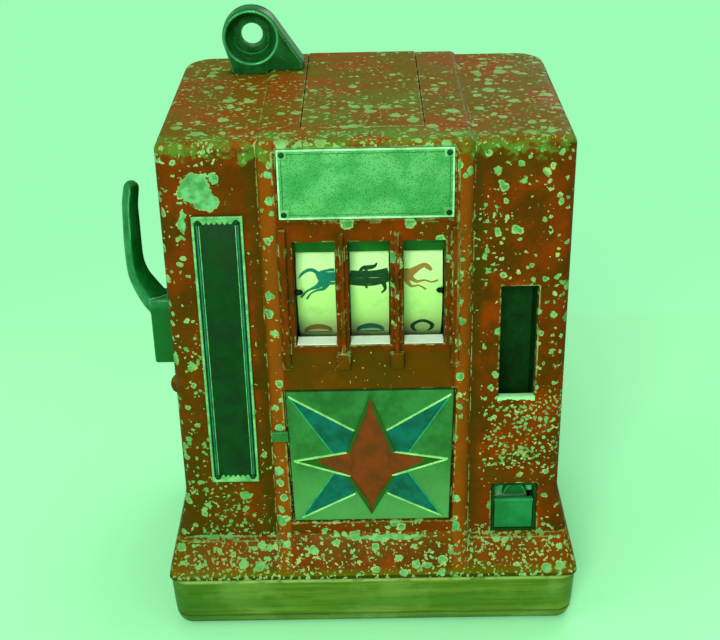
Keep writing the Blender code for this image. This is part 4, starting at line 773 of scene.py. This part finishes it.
def add_window_frame(case):
    """Outer ribs, mullion fins on square blocks, and the raised bead round the award plate."""
    back, front = CENTRE_FRONT + 0.002, CENTRE_FRONT - RIB_PROUD
    bars = [(x, RIB_W, front, RIB_LOW, RIB_HIGH, 0.0009) for x in (REEL_XS[1] - RIB_X, REEL_XS[1] + RIB_X)]
    for x in ((REEL_XS[0] + REEL_XS[1]) / 2, (REEL_XS[1] + REEL_XS[2]) / 2):
        bars += [(x, FIN_W, front, RIB_LOW + 0.004, RIB_HIGH - 0.003, 0.0007),
                 (x, BLOCK_W, front - BLOCK_PROUD, RIB_LOW, BLOCK_HIGH, 0.0006)]
    for x, width, face, low, high, round_by in bars:
        join(case, box_mesh((x - width / 2, face, low), (x + width / 2, back, high), round_by, 3))
    half, low, high = PLATE_W / 2 + GAP, PLATE_LOW - PLATE_FRAME, PLATE_HIGH - 0.0012
    outer, proud, lap = half + PLATE_FRAME, CENTRE_FRONT - PLATE_FRAME_PROUD, 0.0004
    for x_low, x_high, top in ((-outer, -half + lap, high), (half - lap, outer, high),
                               (-outer, outer, PLATE_LOW - GAP + lap)):
        join(case, box_mesh((x_low, proud, low), (x_high, back, top), 0.0005, 2))


def cut_cavity(case):
    inner = [(x, y) for x, y, _ in section(INNER_SIDE, INNER_FRONT, INNER_BACK, 0.003, BACK_CORNER - WALL, 0)]
    cut(case, prism_mesh(inner, "Z", 0, CASE_TOP - WALL))
    top, slope_wall, back = LIP_Z - WALL - 0.002, WALL * 1.2, INNER_BACK - 0.0135
    foot_front, top_front = COLUMN_FRONT - APRON_PROUD + slope_wall, COLUMN_FRONT - apron(top) + slope_wall
    hollow = [(foot_front, 0), (foot_front, CASE_BOTTOM), (top_front, top), (back, top), (back, 0)]
    half = BASE_W / 2 - 2 * WALL
    cut(case, prism_mesh(hollow, "X", -half, half))
    half = DOOR_OPENING_W / 2
    cut(case, box_mesh((-half, INNER_BACK - BEYOND, 0.002), (half, CASE_BACK + BEYOND, DOOR_OPENING_HIGH)))


def slot_mesh(low, high):
    y = HEAD_Y + SLOT_SET
    return box_mesh((HEAD_X - SLOT_W / 2, y, low), (HEAD_X + SLOT_W / 2, y + SLOT_T, high))


def cut_top_and_side(case):
    cut(case, box_mesh((LID_LEFT, LID_FRONT, CENTRE_TOP - LID_T - GAP),
                       (LID_RIGHT, CASE_BACK + BEYOND, CENTRE_TOP + BEYOND)))
    cut(case, box_mesh((LID_LEFT + LID_RIM, LID_FRONT + LID_RIM, CASE_TOP - WALL - BEYOND),
                       (LID_RIGHT - LID_RIM, INNER_BACK - 0.0095, CENTRE_TOP + BEYOND)))
    cut(case, slot_mesh(CASE_TOP - WALL - BEYOND, CASE_TOP + BEYOND))
    for y, z, r in ((LEVER_Y, LEVER_Z, BUSH_HOLE_R), (BOLT_Y, BOLT_Z, BOLT_HOLE_R)):
        cut(case, rod_mesh("X", (y, z), r, -CASE_W / 2 - BEYOND, -INNER_SIDE + BEYOND))


def cabinet():
    case = new_object("cabinet_casting", loft_mesh(column_rings()), [PAINT])
    join(case, loft_mesh(centre_rings()))
    cut_cavity(case)
    add_window_frame(case)
    cut_front(case)
    cut_top_and_side(case)
    for low, high in KNUCKLES:
        join(case, box_mesh((HINGE_X - KNUCKLE_R, CASE_BACK - 0.0015, low),
                            (HINGE_X + KNUCKLE_R, HINGE_Y, high)))
        join(case, rod_mesh("Z", (HINGE_X, HINGE_Y), KNUCKLE_R, low, high))
        cut(case, rod_mesh("Z", (HINGE_X, HINGE_Y), HINGE_BORE, low - 0.001, high + 0.001, 16))
    smooth(case)
    place(case, "cabinet", "red_paint", "cabinet_shell")


def wood_base():
    """The board under the case: rounded plan, a groove near its foot, and a rounded upper arris with a
    painted highlight.
    """
    g, groove = 0.0009, BASE_GROOVE_Z
    profile = ((0, 0.0075), (0.0006, 0.0060), (0.0014, 0.0049), (0.0026, 0.0038), (0.0042, 0.0029),
               (groove - g, 0.0018), (groove - g * 0.4, 0.0026), (groove + g * 0.4, 0.0026),
               (groove + g, 0.0016), (0.014, 0.0012), (0.020, 0.0009), (0.028, 0.0005),
               (BASE_H - 0.0016, 0.0002), (BASE_H - 0.0008, 0.0004), (BASE_H - 0.0002, 0.0009),
               (BASE_H, 0.0016))
    rings = [section(BASE_W / 2 - inset, -BASE_D / 2 + inset, BASE_D / 2 - inset, BASE_CORNER - inset,
                     BASE_CORNER - inset, z) for z, inset in profile]
    piece("base_board", loft_mesh(rings), WOOD, "cabinet", "varnished_wood", "wood_base")


# ---- Pieces on the front -----------------------------------------------------------------------

def slab(outline, front, back, round_by=0.0003):
    """A flat body that looks to -Y, with its front arris rounded off."""
    middle_x, middle_z = (sum(c) / len(outline) for c in zip(*outline))

    def shrunk(by):
        points = []
        for x, z in outline:
            reach = math.hypot(x - middle_x, z - middle_z)
            points.append((x + (middle_x - x) * by / reach, z + (middle_z - z) * by / reach))
        return points
    steps = ((front, round_by), (front + round_by * 0.3, round_by * 0.3), (front + round_by, 0), (back, 0))
    return loft_mesh([[(x, y, z) for x, z in shrunk(inset)] for y, inset in steps])


def bar(x_low, x_high, z_low, z_high, front, back, round_by=0.0003, steps=2):
    return box_mesh((x_low, front, z_low), (x_high, back, z_high), round_by, steps)


def four_bars(x_low, x_high, z_low, z_high, width, front, back):
    """Four bars round a rectangle."""
    lap = width * 0.5
    return [bar(x_low, x_high, z_high - width, z_high, front, back),
            bar(x_low, x_high, z_low, z_low + width, front, back),
            bar(x_low, x_low + width, z_low + lap, z_high - lap, front, back),
            bar(x_high - width, x_high, z_low + lap, z_high - lap, front, back)]


def pins(prefix, places, face):
    """Round-headed drive pins, each with its shank in the case."""
    profile = [(-0.0011, 0.0001)]
    for degrees in (75, 60, 45, 30, 15, 0):
        turn = math.radians(degrees)
        profile.append((-0.0003 - 0.0008 * math.sin(turn), 0.0016 * math.cos(turn) ** 0.9))
    profile += [(-0.0001, 0.00155), (-0.0001, PIN_SHANK_R), (0.0034, PIN_SHANK_R)]
    for i, centre in enumerate(places):
        pin = turned_mesh("Y", centre, [(face + depth, r) for depth, r in profile], 20)
        piece(f"{prefix}_head_{i + 1}", pin, PIN, "cabinet", "dark_iron", f"{prefix}_{i + 1}", sharp=50)


def award_plate():
    """The wide plate: a plated rim and square pads at its corners round a stippled field."""
    front = CENTRE_FRONT + PLATE_SEAT - GAP - PLATE_T
    back, half, pad, inner = front + PLATE_T, PLATE_W / 2, 0.0027, 0.0023
    parts = [(bar(-half + GAP, half - GAP, PLATE_LOW + GAP, PLATE_HIGH - GAP, front + 0.0004, back), STIPPLE)]
    parts += [(rim, RIM) for rim in four_bars(-half, half, PLATE_LOW, PLATE_HIGH, 0.0011, front, back)]
    for x, z in AWARD_PINS:
        parts.append((bar(x - pad, x + pad, z - pad, z + pad, front + 0.0001, back - 0.0002), FRAME))
    parts += [(line, FIELD) for line in four_bars(-half + inner, half - inner, PLATE_LOW + inner,
                                                  PLATE_HIGH - inner, 0.00035, front + 0.0002, back - 0.0003)]
    place(merged("award_face", parts), "cabinet", "bare_metal", "award_plate")
    pins("award_pin", AWARD_PINS, front + 0.0001)


def name_plate():
    """The tall plate: a blank dark field in a double frame, scalloped at both ends."""
    front = COLUMN_FRONT - GAP - PLATE_T
    back, left, right = front + PLATE_T, NAME_X - NAME_W / 2, NAME_X + NAME_W / 2
    parts = [(bar(left + GAP, right - GAP, NAME_LOW + GAP, NAME_HIGH - GAP, front + 0.0004, back), NAME_DARK)]
    parts += [(side, FRAME) for side in four_bars(left, right, NAME_LOW, NAME_HIGH, 0.0014, front, back)]
    for inset, look, half in ((0.0029, NAME_LINE, 0.00045), (0.0040, FRAME, 0.00025)):
        for x in (left + inset, right - inset):
            parts.append((bar(x - half, x + half, NAME_LOW + 0.0030, NAME_HIGH - 0.0030, front + 0.0001,
                              back - 0.0003, 0.0002), look))
    band, scallops = 0.0034, 6
    step = (NAME_W - 0.0104) / scallops
    for low, edge, way in ((NAME_LOW, NAME_LOW + band, 1), (NAME_HIGH - band, NAME_HIGH - band, -1)):
        parts.append((bar(left + 0.001, right - 0.001, low, low + band, front + 0.00005, back - 0.0003),
                      FRAME))
        for i in range(scallops):
            x = left + 0.0052 + step * (i + 0.5)
            outline = [(x + step * 0.42 * math.cos(math.pi * k / 10),
                        edge + way * (step * 0.5 * math.sin(math.pi * k / 10) - 0.0002)) for k in range(11)]
            parts.append((slab(outline[::way], front + 0.0001, back - 0.0003, 0.0002), FRAME))
    place(merged("name_face", parts), "cabinet", "bare_metal", "name_plate")
    pins("name_pin", NAME_PINS, front + 0.0001)


def ridge(start, stop, base, width=0.00115, height=0.0010):
    """A thin raised line with a rounded back, from one (x, z) to another, that fades at both ends."""
    (x0, z0), (x1, z1) = start, stop
    length = math.hypot(x1 - x0, z1 - z0)
    ax, az, sunk = -(z1 - z0) / length, (x1 - x0) / length, base + 0.0004
    rings = []
    for share, size in ((0.0, 0.25), (0.02, 0.7), (0.06, 1.0), (0.5, 1.0), (0.94, 1.0), (0.98, 0.7),
                        (1.0, 0.25)):
        x, z = x0 + (x1 - x0) * share, z0 + (z1 - z0) * share
        ring = [(x - ax * width / 2, sunk, z - az * width / 2)]
        for degrees in range(0, 181, 30):
            turn = math.radians(degrees)
            out = -math.cos(turn) * width / 2
            ring.append((x + ax * out, base - height * size * math.sin(turn), z + az * out))
        rings.append(ring + [(x + ax * width / 2, sunk, z + az * width / 2)])
    return loft_mesh(rings)


def facet(outline, peak, edge, base, top):
    """A low pyramid: an outline of (x, z) at one height and its peak point, closed behind the plate."""
    bm = bmesh.new()
    rim, foot = ([bm.verts.new((x, y, z)) for x, z in outline] for y in (base - edge, base + 0.0005))
    tip = bm.verts.new((peak[0], base - top, peak[1]))
    for i in range(len(outline)):
        j = (i + 1) % len(outline)
        bm.faces.new((rim[i], rim[j], tip))
        bm.faces.new((foot[i], foot[j], rim[j], rim[i]))
    bm.faces.new(foot[::-1])
    return bm


def star_panel():
    """The cast panel: a four-pointed star with diagonal rays behind it, and lines along both; the bright
    lines are painted light, the dim lines and the star's dark flanks painted shade.
    """
    back = CENTRE_FRONT + STAR_DEPTH - GAP
    front = back - STAR_T
    right, top, left, bottom = ((STAR_TIP_X, STAR_Z), (0.0, STAR_Z + STAR_TIP_Z), (-STAR_TIP_X, STAR_Z),
                                (0.0, STAR_Z - STAR_TIP_LOW))
    high, deep = STAR_Z + STAR_VALLEY_UP, STAR_Z - STAR_VALLEY_DOWN
    right_high, left_high, left_low, right_low = ((STAR_VALLEY_X, high), (-STAR_VALLEY_X, high),
                                                  (-STAR_VALLEY_X, deep), (STAR_VALLEY_X, deep))
    parts = [(slab(star_outline(-STAR_MARGIN), front, back, 0.0004), FIELD)]
    upright = [left_high, top, right_high, right_low, bottom, left_low]
    parts.append((facet(upright, (0, STAR_Z), 0.0004, front, 0.0016), RED))
    for tip, inner in ((right, (right_low, right_high)), (left, (left_high, left_low))):
        for end, peak_x, edge, height, look in ((tip[0] * 0.72, inner[0][0] * 0.9, 0.0003, 0.0012, RED),
                                                (tip[0], tip[0] * 0.8, 0.0001, 0.0004, FLANK_SHADE)):
            outline = [inner[0], (end, STAR_Z), inner[1]]
            parts.append((facet(outline, (peak_x, STAR_Z), edge, front, height), look))
        parts += [(ridge(tip, point, front), LIT_RIDGE) for point in inner]
    for side, way in ((-1, 1), (1, 1), (-1, -1), (1, -1)):
        tip, near, far, valley = ((side * x, STAR_Z + way * z) for x, z in RAYS[way])
        middle = ((tip[0] + near[0] + far[0]) / 3, (tip[1] + near[1] + far[1]) / 3)
        parts.append((facet([tip, near, valley, far], middle, 0.00015, front, 0.0004), BLUE))
        parts.append((ridge(tip, near, front), LIT_RIDGE))
        parts.append((ridge(tip, far, front, 0.0009, 0.0007), SHADED_RIDGE))
    for tip, inner in ((top, (left_high, right_high)), (bottom, (left_low, right_low))):
        for point in inner:
            near = (point[0] * 1.18, point[1])
            crown = (point[0] * 0.14, tip[1] + (STAR_Z - tip[1]) * 0.24)
            peak = ((near[0] + crown[0]) / 2, (near[1] + crown[1]) / 2)
            parts.append((facet([tip, near, point, crown], peak, 0.0011, front, 0.0013), FLANK_SHADE))
    parts.append((ridge(top, right_high, front - 0.0004, 0.0006, 0.0005), SHADED_RIDGE))
    place(merged("star_face", parts, 24), "cabinet", "bare_metal", "star_panel")


def pointers():
    """Two small turned pointers at the payline, one in each outer window."""
    reach = WINDOW_W / 2 - GAP
    profile = ((0, 0.9), (0.06, 1.0), (0.40, 1.0), (0.46, 0.8), (0.52, 0.8), (0.6, 0.95), (0.8, 0.72),
               (0.93, 0.42), (1, 0.18))
    for end, seat, way in (("left", REEL_XS[0] - reach, 1), ("right", REEL_XS[2] + reach, -1)):
        bead = turned_mesh("X", (CENTRE_FRONT + 0.005, PAYLINE_Z),
                           [(seat + way * 0.0042 * share, 0.0018 * r) for share, r in profile], 24)
        piece(f"payline_bead_{end}", bead, BEAD, "cabinet", "black_bead", f"pointer_{end}", sharp=40)


def window_cards():
    """Pale sills in the three windows, and a dark band behind the top of the glass as painted shade under the
    windows' tops.
    """
    half = WINDOW_W / 2 - 0.0004
    for i, x in enumerate(REEL_XS):
        sill = bar(x - half, x + half, WINDOW_LOW, WINDOW_LOW + 0.0003, CENTRE_FRONT + 0.0004,
                   INNER_FRONT - 0.0002, 0.0001, 1)
        piece(f"sill_{i + 1}", sill, CARD, "cabinet", "reel_paper")
    # A dark sheet standing in for the shade under the windows' tops: painted shade
    band = bar(REEL_XS[0] - 0.0135, REEL_XS[2] + 0.0135, 0.2426, 0.2600, -0.0687, -0.0683, 0.00015, 1)
    piece("painted_shade_band", band, SHADE, "cabinet", "reel_paper")


# ---- Reels -------------------------------------------------------------------------------------

def on_reel(x0, u, s, lift, turn):
    """A point of the strip: u across it, s up along it, both from the middle of the picture at a turn."""
    angle = math.radians(turn) + s / STRIP_R
    r = STRIP_R + lift
    u = max(-STRIP_HALF, min(STRIP_HALF, u))
    return (x0 + u, REEL_Y - r * math.cos(angle), PAYLINE_Z + r * math.sin(angle))


def curve_through(points, steps=6):
    """A smooth line through the points."""
    line = []
    for i in range(len(points) - 1):
        p0, p1, p2, p3 = (points[min(len(points) - 1, max(0, i + k))] for k in (-1, 0, 1, 2))
        for k in range(steps):
            t = k / steps
            line.append(tuple(0.5 * (2 * b + (c - a) * t + (2 * a - 5 * b + 4 * c - d) * t * t
                                     + (3 * b - a - 3 * c + d) * t ** 3)
                              for a, b, c, d in zip(p0, p1, p2, p3)))
    return line + [points[-1]]


def stroke(bm, x0, points, lift, turn):
    """Lays one tapered brush stroke of ink on the strip, from (u, s, width) points in millimetres."""
    line = curve_through([tuple(0.001 * c for c in point) for point in points])
    rows = []
    for i, (u, s, width) in enumerate(line):
        before, after = line[max(0, i - 1)], line[min(len(line) - 1, i + 1)]
        du, ds = after[0] - before[0], after[1] - before[1]
        length = math.hypot(du, ds) or 1.0
        nu, ns = -ds / length, du / length
        rows.append([bm.verts.new(on_reel(x0, u + nu * width * k, s + ns * width * k, lift, turn))
                     for k in (-0.5, -0.17, 0.17, 0.5)])
    for lower, upper in zip(rows, rows[1:]):
        for k in range(3):
            bm.faces.new((lower[k], lower[k + 1], upper[k + 1], upper[k]))


HIND = (((10.9, 5.0, 9.6), (7.0, 4.6, 9.4), (3.2, 4.6, 7.6), (0.8, 3.8, 4.2)),
        ((1.6, 6.6, 2.4), (-1.5, 8.8, 2.0), (-4.6, 8.6, 1.9), (-7.6, 6.6, 1.5), (-9.6, 4.0, 0.5)),
        ((3.6, 1.6, 4.4), (1.0, -0.8, 3.0), (-2.6, -2.4, 1.5), (-5.8, -4.4, 1.1), (-8.6, -8.0, 1.5)),
        ((6.6, 1.4, 3.8), (4.0, -2.4, 2.2), (0.4, -3.4, 1.3), (-3.0, -5.4, 1.0), (-5.4, -9.0, 1.4)))
BARREL = (((-11, 4.2, 8.4), (-6.0, 3.6, 9.0), (0.0, 3.4, 9.2), (5.0, 4.0, 8.8), (11, 5.6, 8.0)),
          ((-5.4, 7.4, 1.6), (-3.4, 9.6, 2.2), (0.0, 9.8, 2.6), (3.0, 10.6, 1.8), (4.2, 12.4, 0.8)),
          ((-2.0, 8.6, 2.0), (-1.6, 5.4, 2.6), (-2.4, 1.0, 1.6), (-1.4, -2.6, 1.2)),
          ((7.6, 1.0, 3.0), (8.6, -3.0, 1.6), (6.6, -5.6, 1.1)))
FORE = (((-11, 5.2, 7.2), (-8.0, 5.4, 7.0), (-5.6, 5.8, 5.4)),
        ((-6.6, 6.6, 4.6), (-3.0, 9.0, 3.2), (0.4, 10.6, 2.6), (2.6, 9.6, 2.8), (4.6, 7.6, 1.5)),
        ((-7.0, 3.4, 3.2), (-3.6, 1.2, 1.9), (0.8, 1.8, 1.1), (4.6, 0.6, 1.0), (8.0, 1.6, 1.3)),
        ((-9.4, 2.4, 3.0), (-6.6, -1.6, 1.7), (-2.4, -1.4, 1.0), (1.6, -4.0, 1.3)))
MOUND = (((-7.4, -4.0, 1.6), (-5.6, -0.6, 3.8), (-2.0, 1.4, 5.6), (2.0, 1.4, 5.6), (5.6, -0.6, 3.8),
          (7.4, -4.0, 1.6)), ((-8.2, -5.2, 1.4), (0.0, -5.6, 1.8), (8.2, -5.2, 1.4)))
SHOE = (((-3.4, -6.4, 1.6), (-5.4, -2.0, 2.2), (-5.0, 3.0, 2.6), (0.0, 6.4, 2.9), (5.0, 3.0, 2.6),
         (5.4, -2.0, 2.2), (3.4, -6.4, 1.6)),)
SPARK = (((0, 8.0, 0.3), (0, 2.4, 3.4), (0, 0.0, 5.0), (0, -2.4, 3.4), (0, -8.0, 0.3)),
         ((-7.6, 0, 0.3), (-2.4, 0, 3.0), (0, 0, 4.2), (2.4, 0, 3.0), (7.6, 0, 0.3)))


def reels():
    """Printed strips on the drums: a part of a running horse on each, and plain emblems between."""
    others = ((MOUND, ORANGE_INK), (SPARK, TEAL_INK), (SHOE, BLACK_INK))
    prints = ((HIND, TEAL_INK), (BARREL, BLACK_INK), (FORE, ORANGE_INK))
    last_prints = (others[0], (MOUND, TEAL_INK), others[2])
    for i, x in enumerate(REEL_XS):
        rings = [[on_reel(x, u, 0, r - STRIP_R, 360 * k / STRIP_SIDES) for k in range(STRIP_SIDES)]
                 for u, r in ((-STRIP_HALF, STRIP_INNER_R), (-STRIP_HALF, STRIP_R), (STRIP_HALF, STRIP_R),
                              (STRIP_HALF, STRIP_INNER_R))]
        band = loft_mesh(rings, closed=False)
        band.verts.ensure_lookup_table()
        first, last = band.verts[:STRIP_SIDES], band.verts[3 * STRIP_SIDES:]
        for k in range(STRIP_SIDES):
            j = (k + 1) % STRIP_SIDES
            band.faces.new((first[k], last[k], last[j], first[j]))
        parts = [(band, PAPER)]
        order = [prints[i]] + [others[(k * (i + 1) + i) % 3] if k % 4 != 3 else prints[(i + k) % 3]
                               for k in range(SYMBOLS - 2)] + [last_prints[i]]
        for k, (strokes, shade) in enumerate(order):
            bm = bmesh.new()
            for n, points in enumerate(strokes):
                stroke(bm, x, points, 0.00002 + 0.000004 * n, 36 * k)
            parts.append((bm, shade))
        place(merged(f"reel_print_{i + 1}", parts, 40), f"reel_{i + 1}", "reel_paper", f"reel_strip_{i + 1}")


# ---- Coin head ---------------------------------------------------------------------------------

def head_outline(inset):
    """The disc on its foot, with its flanks and top drawn in by an inset."""
    radius = HEAD_R - inset
    left, right = HEAD_X - HEAD_FOOT_LEFT + inset * 0.4, HEAD_X + HEAD_FOOT_RIGHT - inset
    foot, step, edge = CASE_TOP + GAP, CENTRE_TOP + GAP, -CENTRE_W / 2 - GAP
    shoulder, toe = CASE_TOP + GAP + HEAD_FOOT_H - inset * 0.5, CASE_TOP + GAP + 0.001

    def touch(u, v, side):
        du, dv = u - HEAD_X, v - HEAD_Z
        return math.degrees(math.atan2(dv, du) + side * math.acos(radius / math.hypot(du, dv)))

    start, stop = touch(right, shoulder, 1), touch(left, toe, -1) + 360
    while stop - start > 360:
        stop -= 360
    points = [(left, foot), (edge, foot), (edge, step), (right, step), (right, shoulder)]
    return points + arc(HEAD_X, HEAD_Z, radius, start, stop, 56) + [(left, toe)]


def coin_head():
    steps = ((0.0, 0.0013), (0.0004, 0.0009), (0.0011, 0.0006), (0.0022, 0.0004), (0.0040, 0.0002),
             (0.0065, 0.0001), (HEAD_T - 0.0012, 0.0), (HEAD_T - 0.0004, 0.0004), (HEAD_T, 0.0012))
    rings = [[(x, HEAD_Y + depth, z) for x, z in head_outline(inset)] for depth, inset in steps]
    head = new_object("coin_head_casting", loft_mesh(rings), [DARK])
    bowl = ((-0.002, -0.0005), (0, -0.0002), (0.0006, 0.0003), (0.0025, 0.0005), (0.0046, 0.0009),
            (0.0066, 0.0020), (0.0084, 0.0036), (0.0100, 0.0056), (0.0109, 0.0072),
            (CUP_DEPTH, CUP_R - EYE_R - 0.0007))
    centre = (HEAD_X, HEAD_Z)
    cut(head, turned_mesh("Y", centre, [(HEAD_Y + depth, CUP_R - inset) for depth, inset in bowl], CUP_SIDES))
    cut(head, rod_mesh("Y", centre, EYE_R, HEAD_Y, HEAD_Y + HEAD_T + BEYOND, 48))
    cut(head, slot_mesh(CASE_TOP - BEYOND, HEAD_Z + HEAD_R + BEYOND))
    smooth(head, 28)
    place(head, "cabinet", "dark_enamel", "coin_head")
    bead = [(HEAD_Y + 0.0001 - 0.00045 * math.sin(t), CUP_R + 0.0007 - 0.0007 * math.cos(t))
            for t in [math.pi * k / 6 for k in range(7)]]
    bead = turned_mesh("Y", centre, bead, CUP_SIDES, closed=False)
    piece("cup_bead", bead, BEAD_RIM, "cabinet", "dark_enamel", sharp=60)


# ---- Lever side --------------------------------------------------------------------------------

def lever():
    """The pull lever: a slab over its shaft and a curved arm with a ridge down its front."""
    side = -CASE_W / 2 + 0.00002
    outer, inner = side - LEVER_CLEAR - LEVER_SLAB_T, side - LEVER_CLEAR
    body = box_mesh((outer, LEVER_Y - LEVER_SLAB_D / 2, LEVER_SLAB_LOW),
                    (inner, LEVER_Y + LEVER_SLAB_D / 2, LEVER_SLAB_HIGH), 0.0017, 4)
    arm = new_object("lever_casting", body, [LEVER])
    line = curve_through([(side - 0.001 * out, 0.001 * z, *shares) for out, z, *shares in LEVER_PATH], 4)
    rings = []
    for i, (x, z, wide, deep) in enumerate(line):
        before, after = line[max(0, i - 1)], line[min(len(line) - 1, i + 1)]
        run = Vector((after[0] - before[0], 0, after[1] - before[1])).normalized()
        ring = []
        for u, v in circle(0, 0, 1, 40):
            reach = (abs(u) ** 1.5 + abs(v) ** 1.5) ** (-1 / 1.5)
            out = u * LEVER_HALF_W * reach * wide
            ring.append((x + run.z * out, LEVER_Y + v * LEVER_HALF_D * reach * deep, z - run.x * out))
        rings.append(ring)
    join(arm, loft_mesh(rings))
    bore = rod_mesh("X", (LEVER_Y, LEVER_Z), LEVER_SHAFT_R + 0.00035, outer + LEVER_FLOOR, inner + BEYOND, 40)
    cut(arm, bore)
    smooth(arm, 38)
    place(arm, "lever", "dark_enamel", "handle_lever")


def side_boss():
    """The painted round-headed bolt under the lever, and the small rivet at the front's foot."""
    boss_r, shank_r, side = 0.0055, 0.003, -CASE_W / 2
    profile = [(0.0009 + 0.0044 * math.sin(math.radians(turn)), boss_r * math.cos(math.radians(turn)))
               for turn in range(88, -1, -11)] + [(GAP, boss_r), (GAP, shank_r), (-WALL - 0.003, shank_r)]
    boss = turned_mesh("X", (BOLT_Y, BOLT_Z), [(side - out, r) for out, r in profile], 32)
    piece("side_boss", boss, PAINT, "cabinet", "red_paint", "side_bolt", sharp=50)
    profile = ((0.0008, 0.0002), (0.0007, 0.0006), (0.0004, 0.0010), (0.0, 0.00115), (-0.003, 0.0011))
    x, z = -0.1172, 0.0405
    face = COLUMN_FRONT - apron(z) + 0.0022
    rivet = turned_mesh("Y", (x, z), [(face - out, r) for out, r in profile], 18)
    piece("foot_rivet", rivet, RIM, "cabinet", "bare_metal", sharp=50)


# ---- Payout mouth ------------------------------------------------------------------------------

def payout():
    """The flap on its barrel, and behind it the bright plate with the dark dome that tokens pass."""
    half = PAYOUT_W / 2 - GAP - FLAP_SIDE
    left, right = PAYOUT_X - half, PAYOUT_X + half
    front, centre = FLAP_Y - FLAP_BARREL_R * 0.9, (FLAP_Y, FLAP_Z)
    leaf = new_object("payout_door", rod_mesh("X", centre, FLAP_BARREL_R, left, right, 28), [FLAP])
    join(leaf, bar(left, right, PAYOUT_LOW + 3 * GAP + 0.0015, FLAP_Z, front, front + 0.0012))
    cut(leaf, rod_mesh("X", centre, FLAP_PIN_R + GAP, PAYOUT_X - 0.02, PAYOUT_X + 0.02, 16))
    smooth(leaf)
    place(leaf, "flap", "dark_iron", "payout_flap")
    wide, plate_y = PAYOUT_W / 2 - GAP - 0.0016, FLAP_Y + 0.0062
    plate = bar(PAYOUT_X - wide, PAYOUT_X + wide, FLAP_Z + 0.0024, PAYOUT_HIGH - 0.0020, plate_y,
                plate_y + 0.0008, 0.0002, 1)
    piece("payout_guard", plate, GUARD, "cabinet", "bare_metal")
    rings = [[(PAYOUT_X + 0.0008 + 0.0074 * size * math.cos(math.pi * k / 28), plate_y - out,
               FLAP_Z + 0.0026 + 0.0078 * size * math.sin(math.pi * k / 28)) for k in range(29)]
             for out, size in ((0.0, 1.0), (0.0026, 0.99), (0.0034, 0.93), (0.0036, 0.86), (0.0032, 0.80))]
    piece("payout_dome", loft_mesh(rings), FLAP_DARK, "cabinet", "dark_enamel", sharp=40)


# ---- Carried-over pieces, stage and camera -----------------------------------------------------

def dress():
    """Gives every CAD piece that is shown as it is its own look."""
    looks = {"red_paint": PAINT, "dark_iron": IRON, "bare_metal": RIM, "steel": STEEL, "brass": BRASS,
             "drum_metal": DRUM, "clear_glass": GLASS, "dark_enamel": DARK, "varnished_wood": WOOD,
             "reel_paper": PAPER, "black_bead": BEAD}
    own = {CLIP: "panel_clip", TIN: "cash_box coin_chute payout_chute", INSIDE_SHADE: "token_tube payout_cup",
           SPRING: "return_spring reel_shaft kicker_shaft flap_pin door_hinge_pin handle_shaft",
           FIELD: "token_slide", BRASS: "door_lock lock_cam"}
    named = {name: look for look, names in own.items() for name in names.split()}
    slots = {part["node"]: part["material_slot"] for part in frame["record"]["subparts"]}
    for name, node in frame["nodes"].items():
        look = named.get(name, looks[slots[name]])
        if not node.material_slots:
            node.data.materials.append(look)
        for slot in node.material_slots:
            slot.material = look


def stage():
    """The table, which meets the backdrop's colour a little way out, the room's light and the lamps."""
    reach, horizon = 6.0, (0.318, 0.330)
    floor = bpy.data.meshes.new("floor")
    floor.from_pydata([(-reach, -reach, 0), (reach, -reach, 0), (reach, reach, 0), (-reach, reach, 0)], [],
                      [(0, 1, 2, 3)])
    ground = bpy.data.objects.new("floor", floor)
    bpy.context.scene.collection.objects.link(ground)
    look = Look("table", 0.7, specular=0.1)
    x, y, _ = look.split(look.place)
    beyond = y.ease(*horizon)
    look.finish(look.over((158, 251, 180), (look.noise(2.2, 3.0).ease(0.3, 0.7), (164, 254, 184)),
                          (beyond, (162, 255, 186))))
    far = look.node("Emission", {"Color": look.over((161, 253, 178), (beyond, (157, 252, 182)))})
    away = (x * x + y * y).ease(0.045, 0.42)
    near = Value(look, look.shader.outputs[0])
    floor.materials.append(look.surface(look.node("MixShader", (look.seen() * away, near, far))))
    world = bpy.context.scene.world or bpy.data.worlds.new("room")
    bpy.context.scene.world = world
    world.use_nodes = True
    room = Nodes(world.node_tree)
    room.tree.nodes.clear()
    light = room.node("Background", {"Color": (1.0, 1.0, 1.0, 1.0), "Strength": WORLD_LIGHT})
    backdrop = room.node("Background", {"Color": tone(159, 253, 183)})
    room.node("OutputWorld", (room.node("MixShader", (room.seen(), light, backdrop)),), ())
    for name, place_at, aim, size, power in LAMPS:
        data = bpy.data.lights.new(name, "AREA")
        data.energy, data.size = power, size
        lamp = bpy.data.objects.new(name, data)
        lamp.location = place_at
        lamp.rotation_euler = (Vector(aim) - Vector(place_at)).to_track_quat("-Z", "Y").to_euler()
        bpy.context.scene.collection.objects.link(lamp)


def camera():
    yaw, tilt, roll = (math.radians(a) for a in CAMERA_TURNS)
    ahead = Vector((math.sin(yaw) * math.cos(tilt), math.cos(yaw) * math.cos(tilt), -math.sin(tilt)))
    right = Vector((math.cos(yaw), -math.sin(yaw), 0))
    down = ahead.cross(right)
    right, down = (right * math.cos(roll) + down * math.sin(roll),
                   down * math.cos(roll) - right * math.sin(roll))
    data = bpy.data.cameras.new("camera")
    data.lens, data.sensor_width = CAMERA_LENS, 36.0
    eye = bpy.data.objects.new("camera", data)
    rows = [(right[i], -down[i], -ahead[i], CAMERA_AT[i]) for i in range(3)]
    eye.matrix_world = Matrix(rows + [(0, 0, 0, 1)])
    bpy.context.scene.collection.objects.link(eye)
    bpy.context.scene.camera = eye
    bpy.context.scene.view_settings.view_transform = "Standard"


wood_base()
cabinet()
award_plate()
name_plate()
star_panel()
pointers()
window_cards()
reels()
coin_head()
lever()
side_boss()
payout()
dress()
stage()
camera()
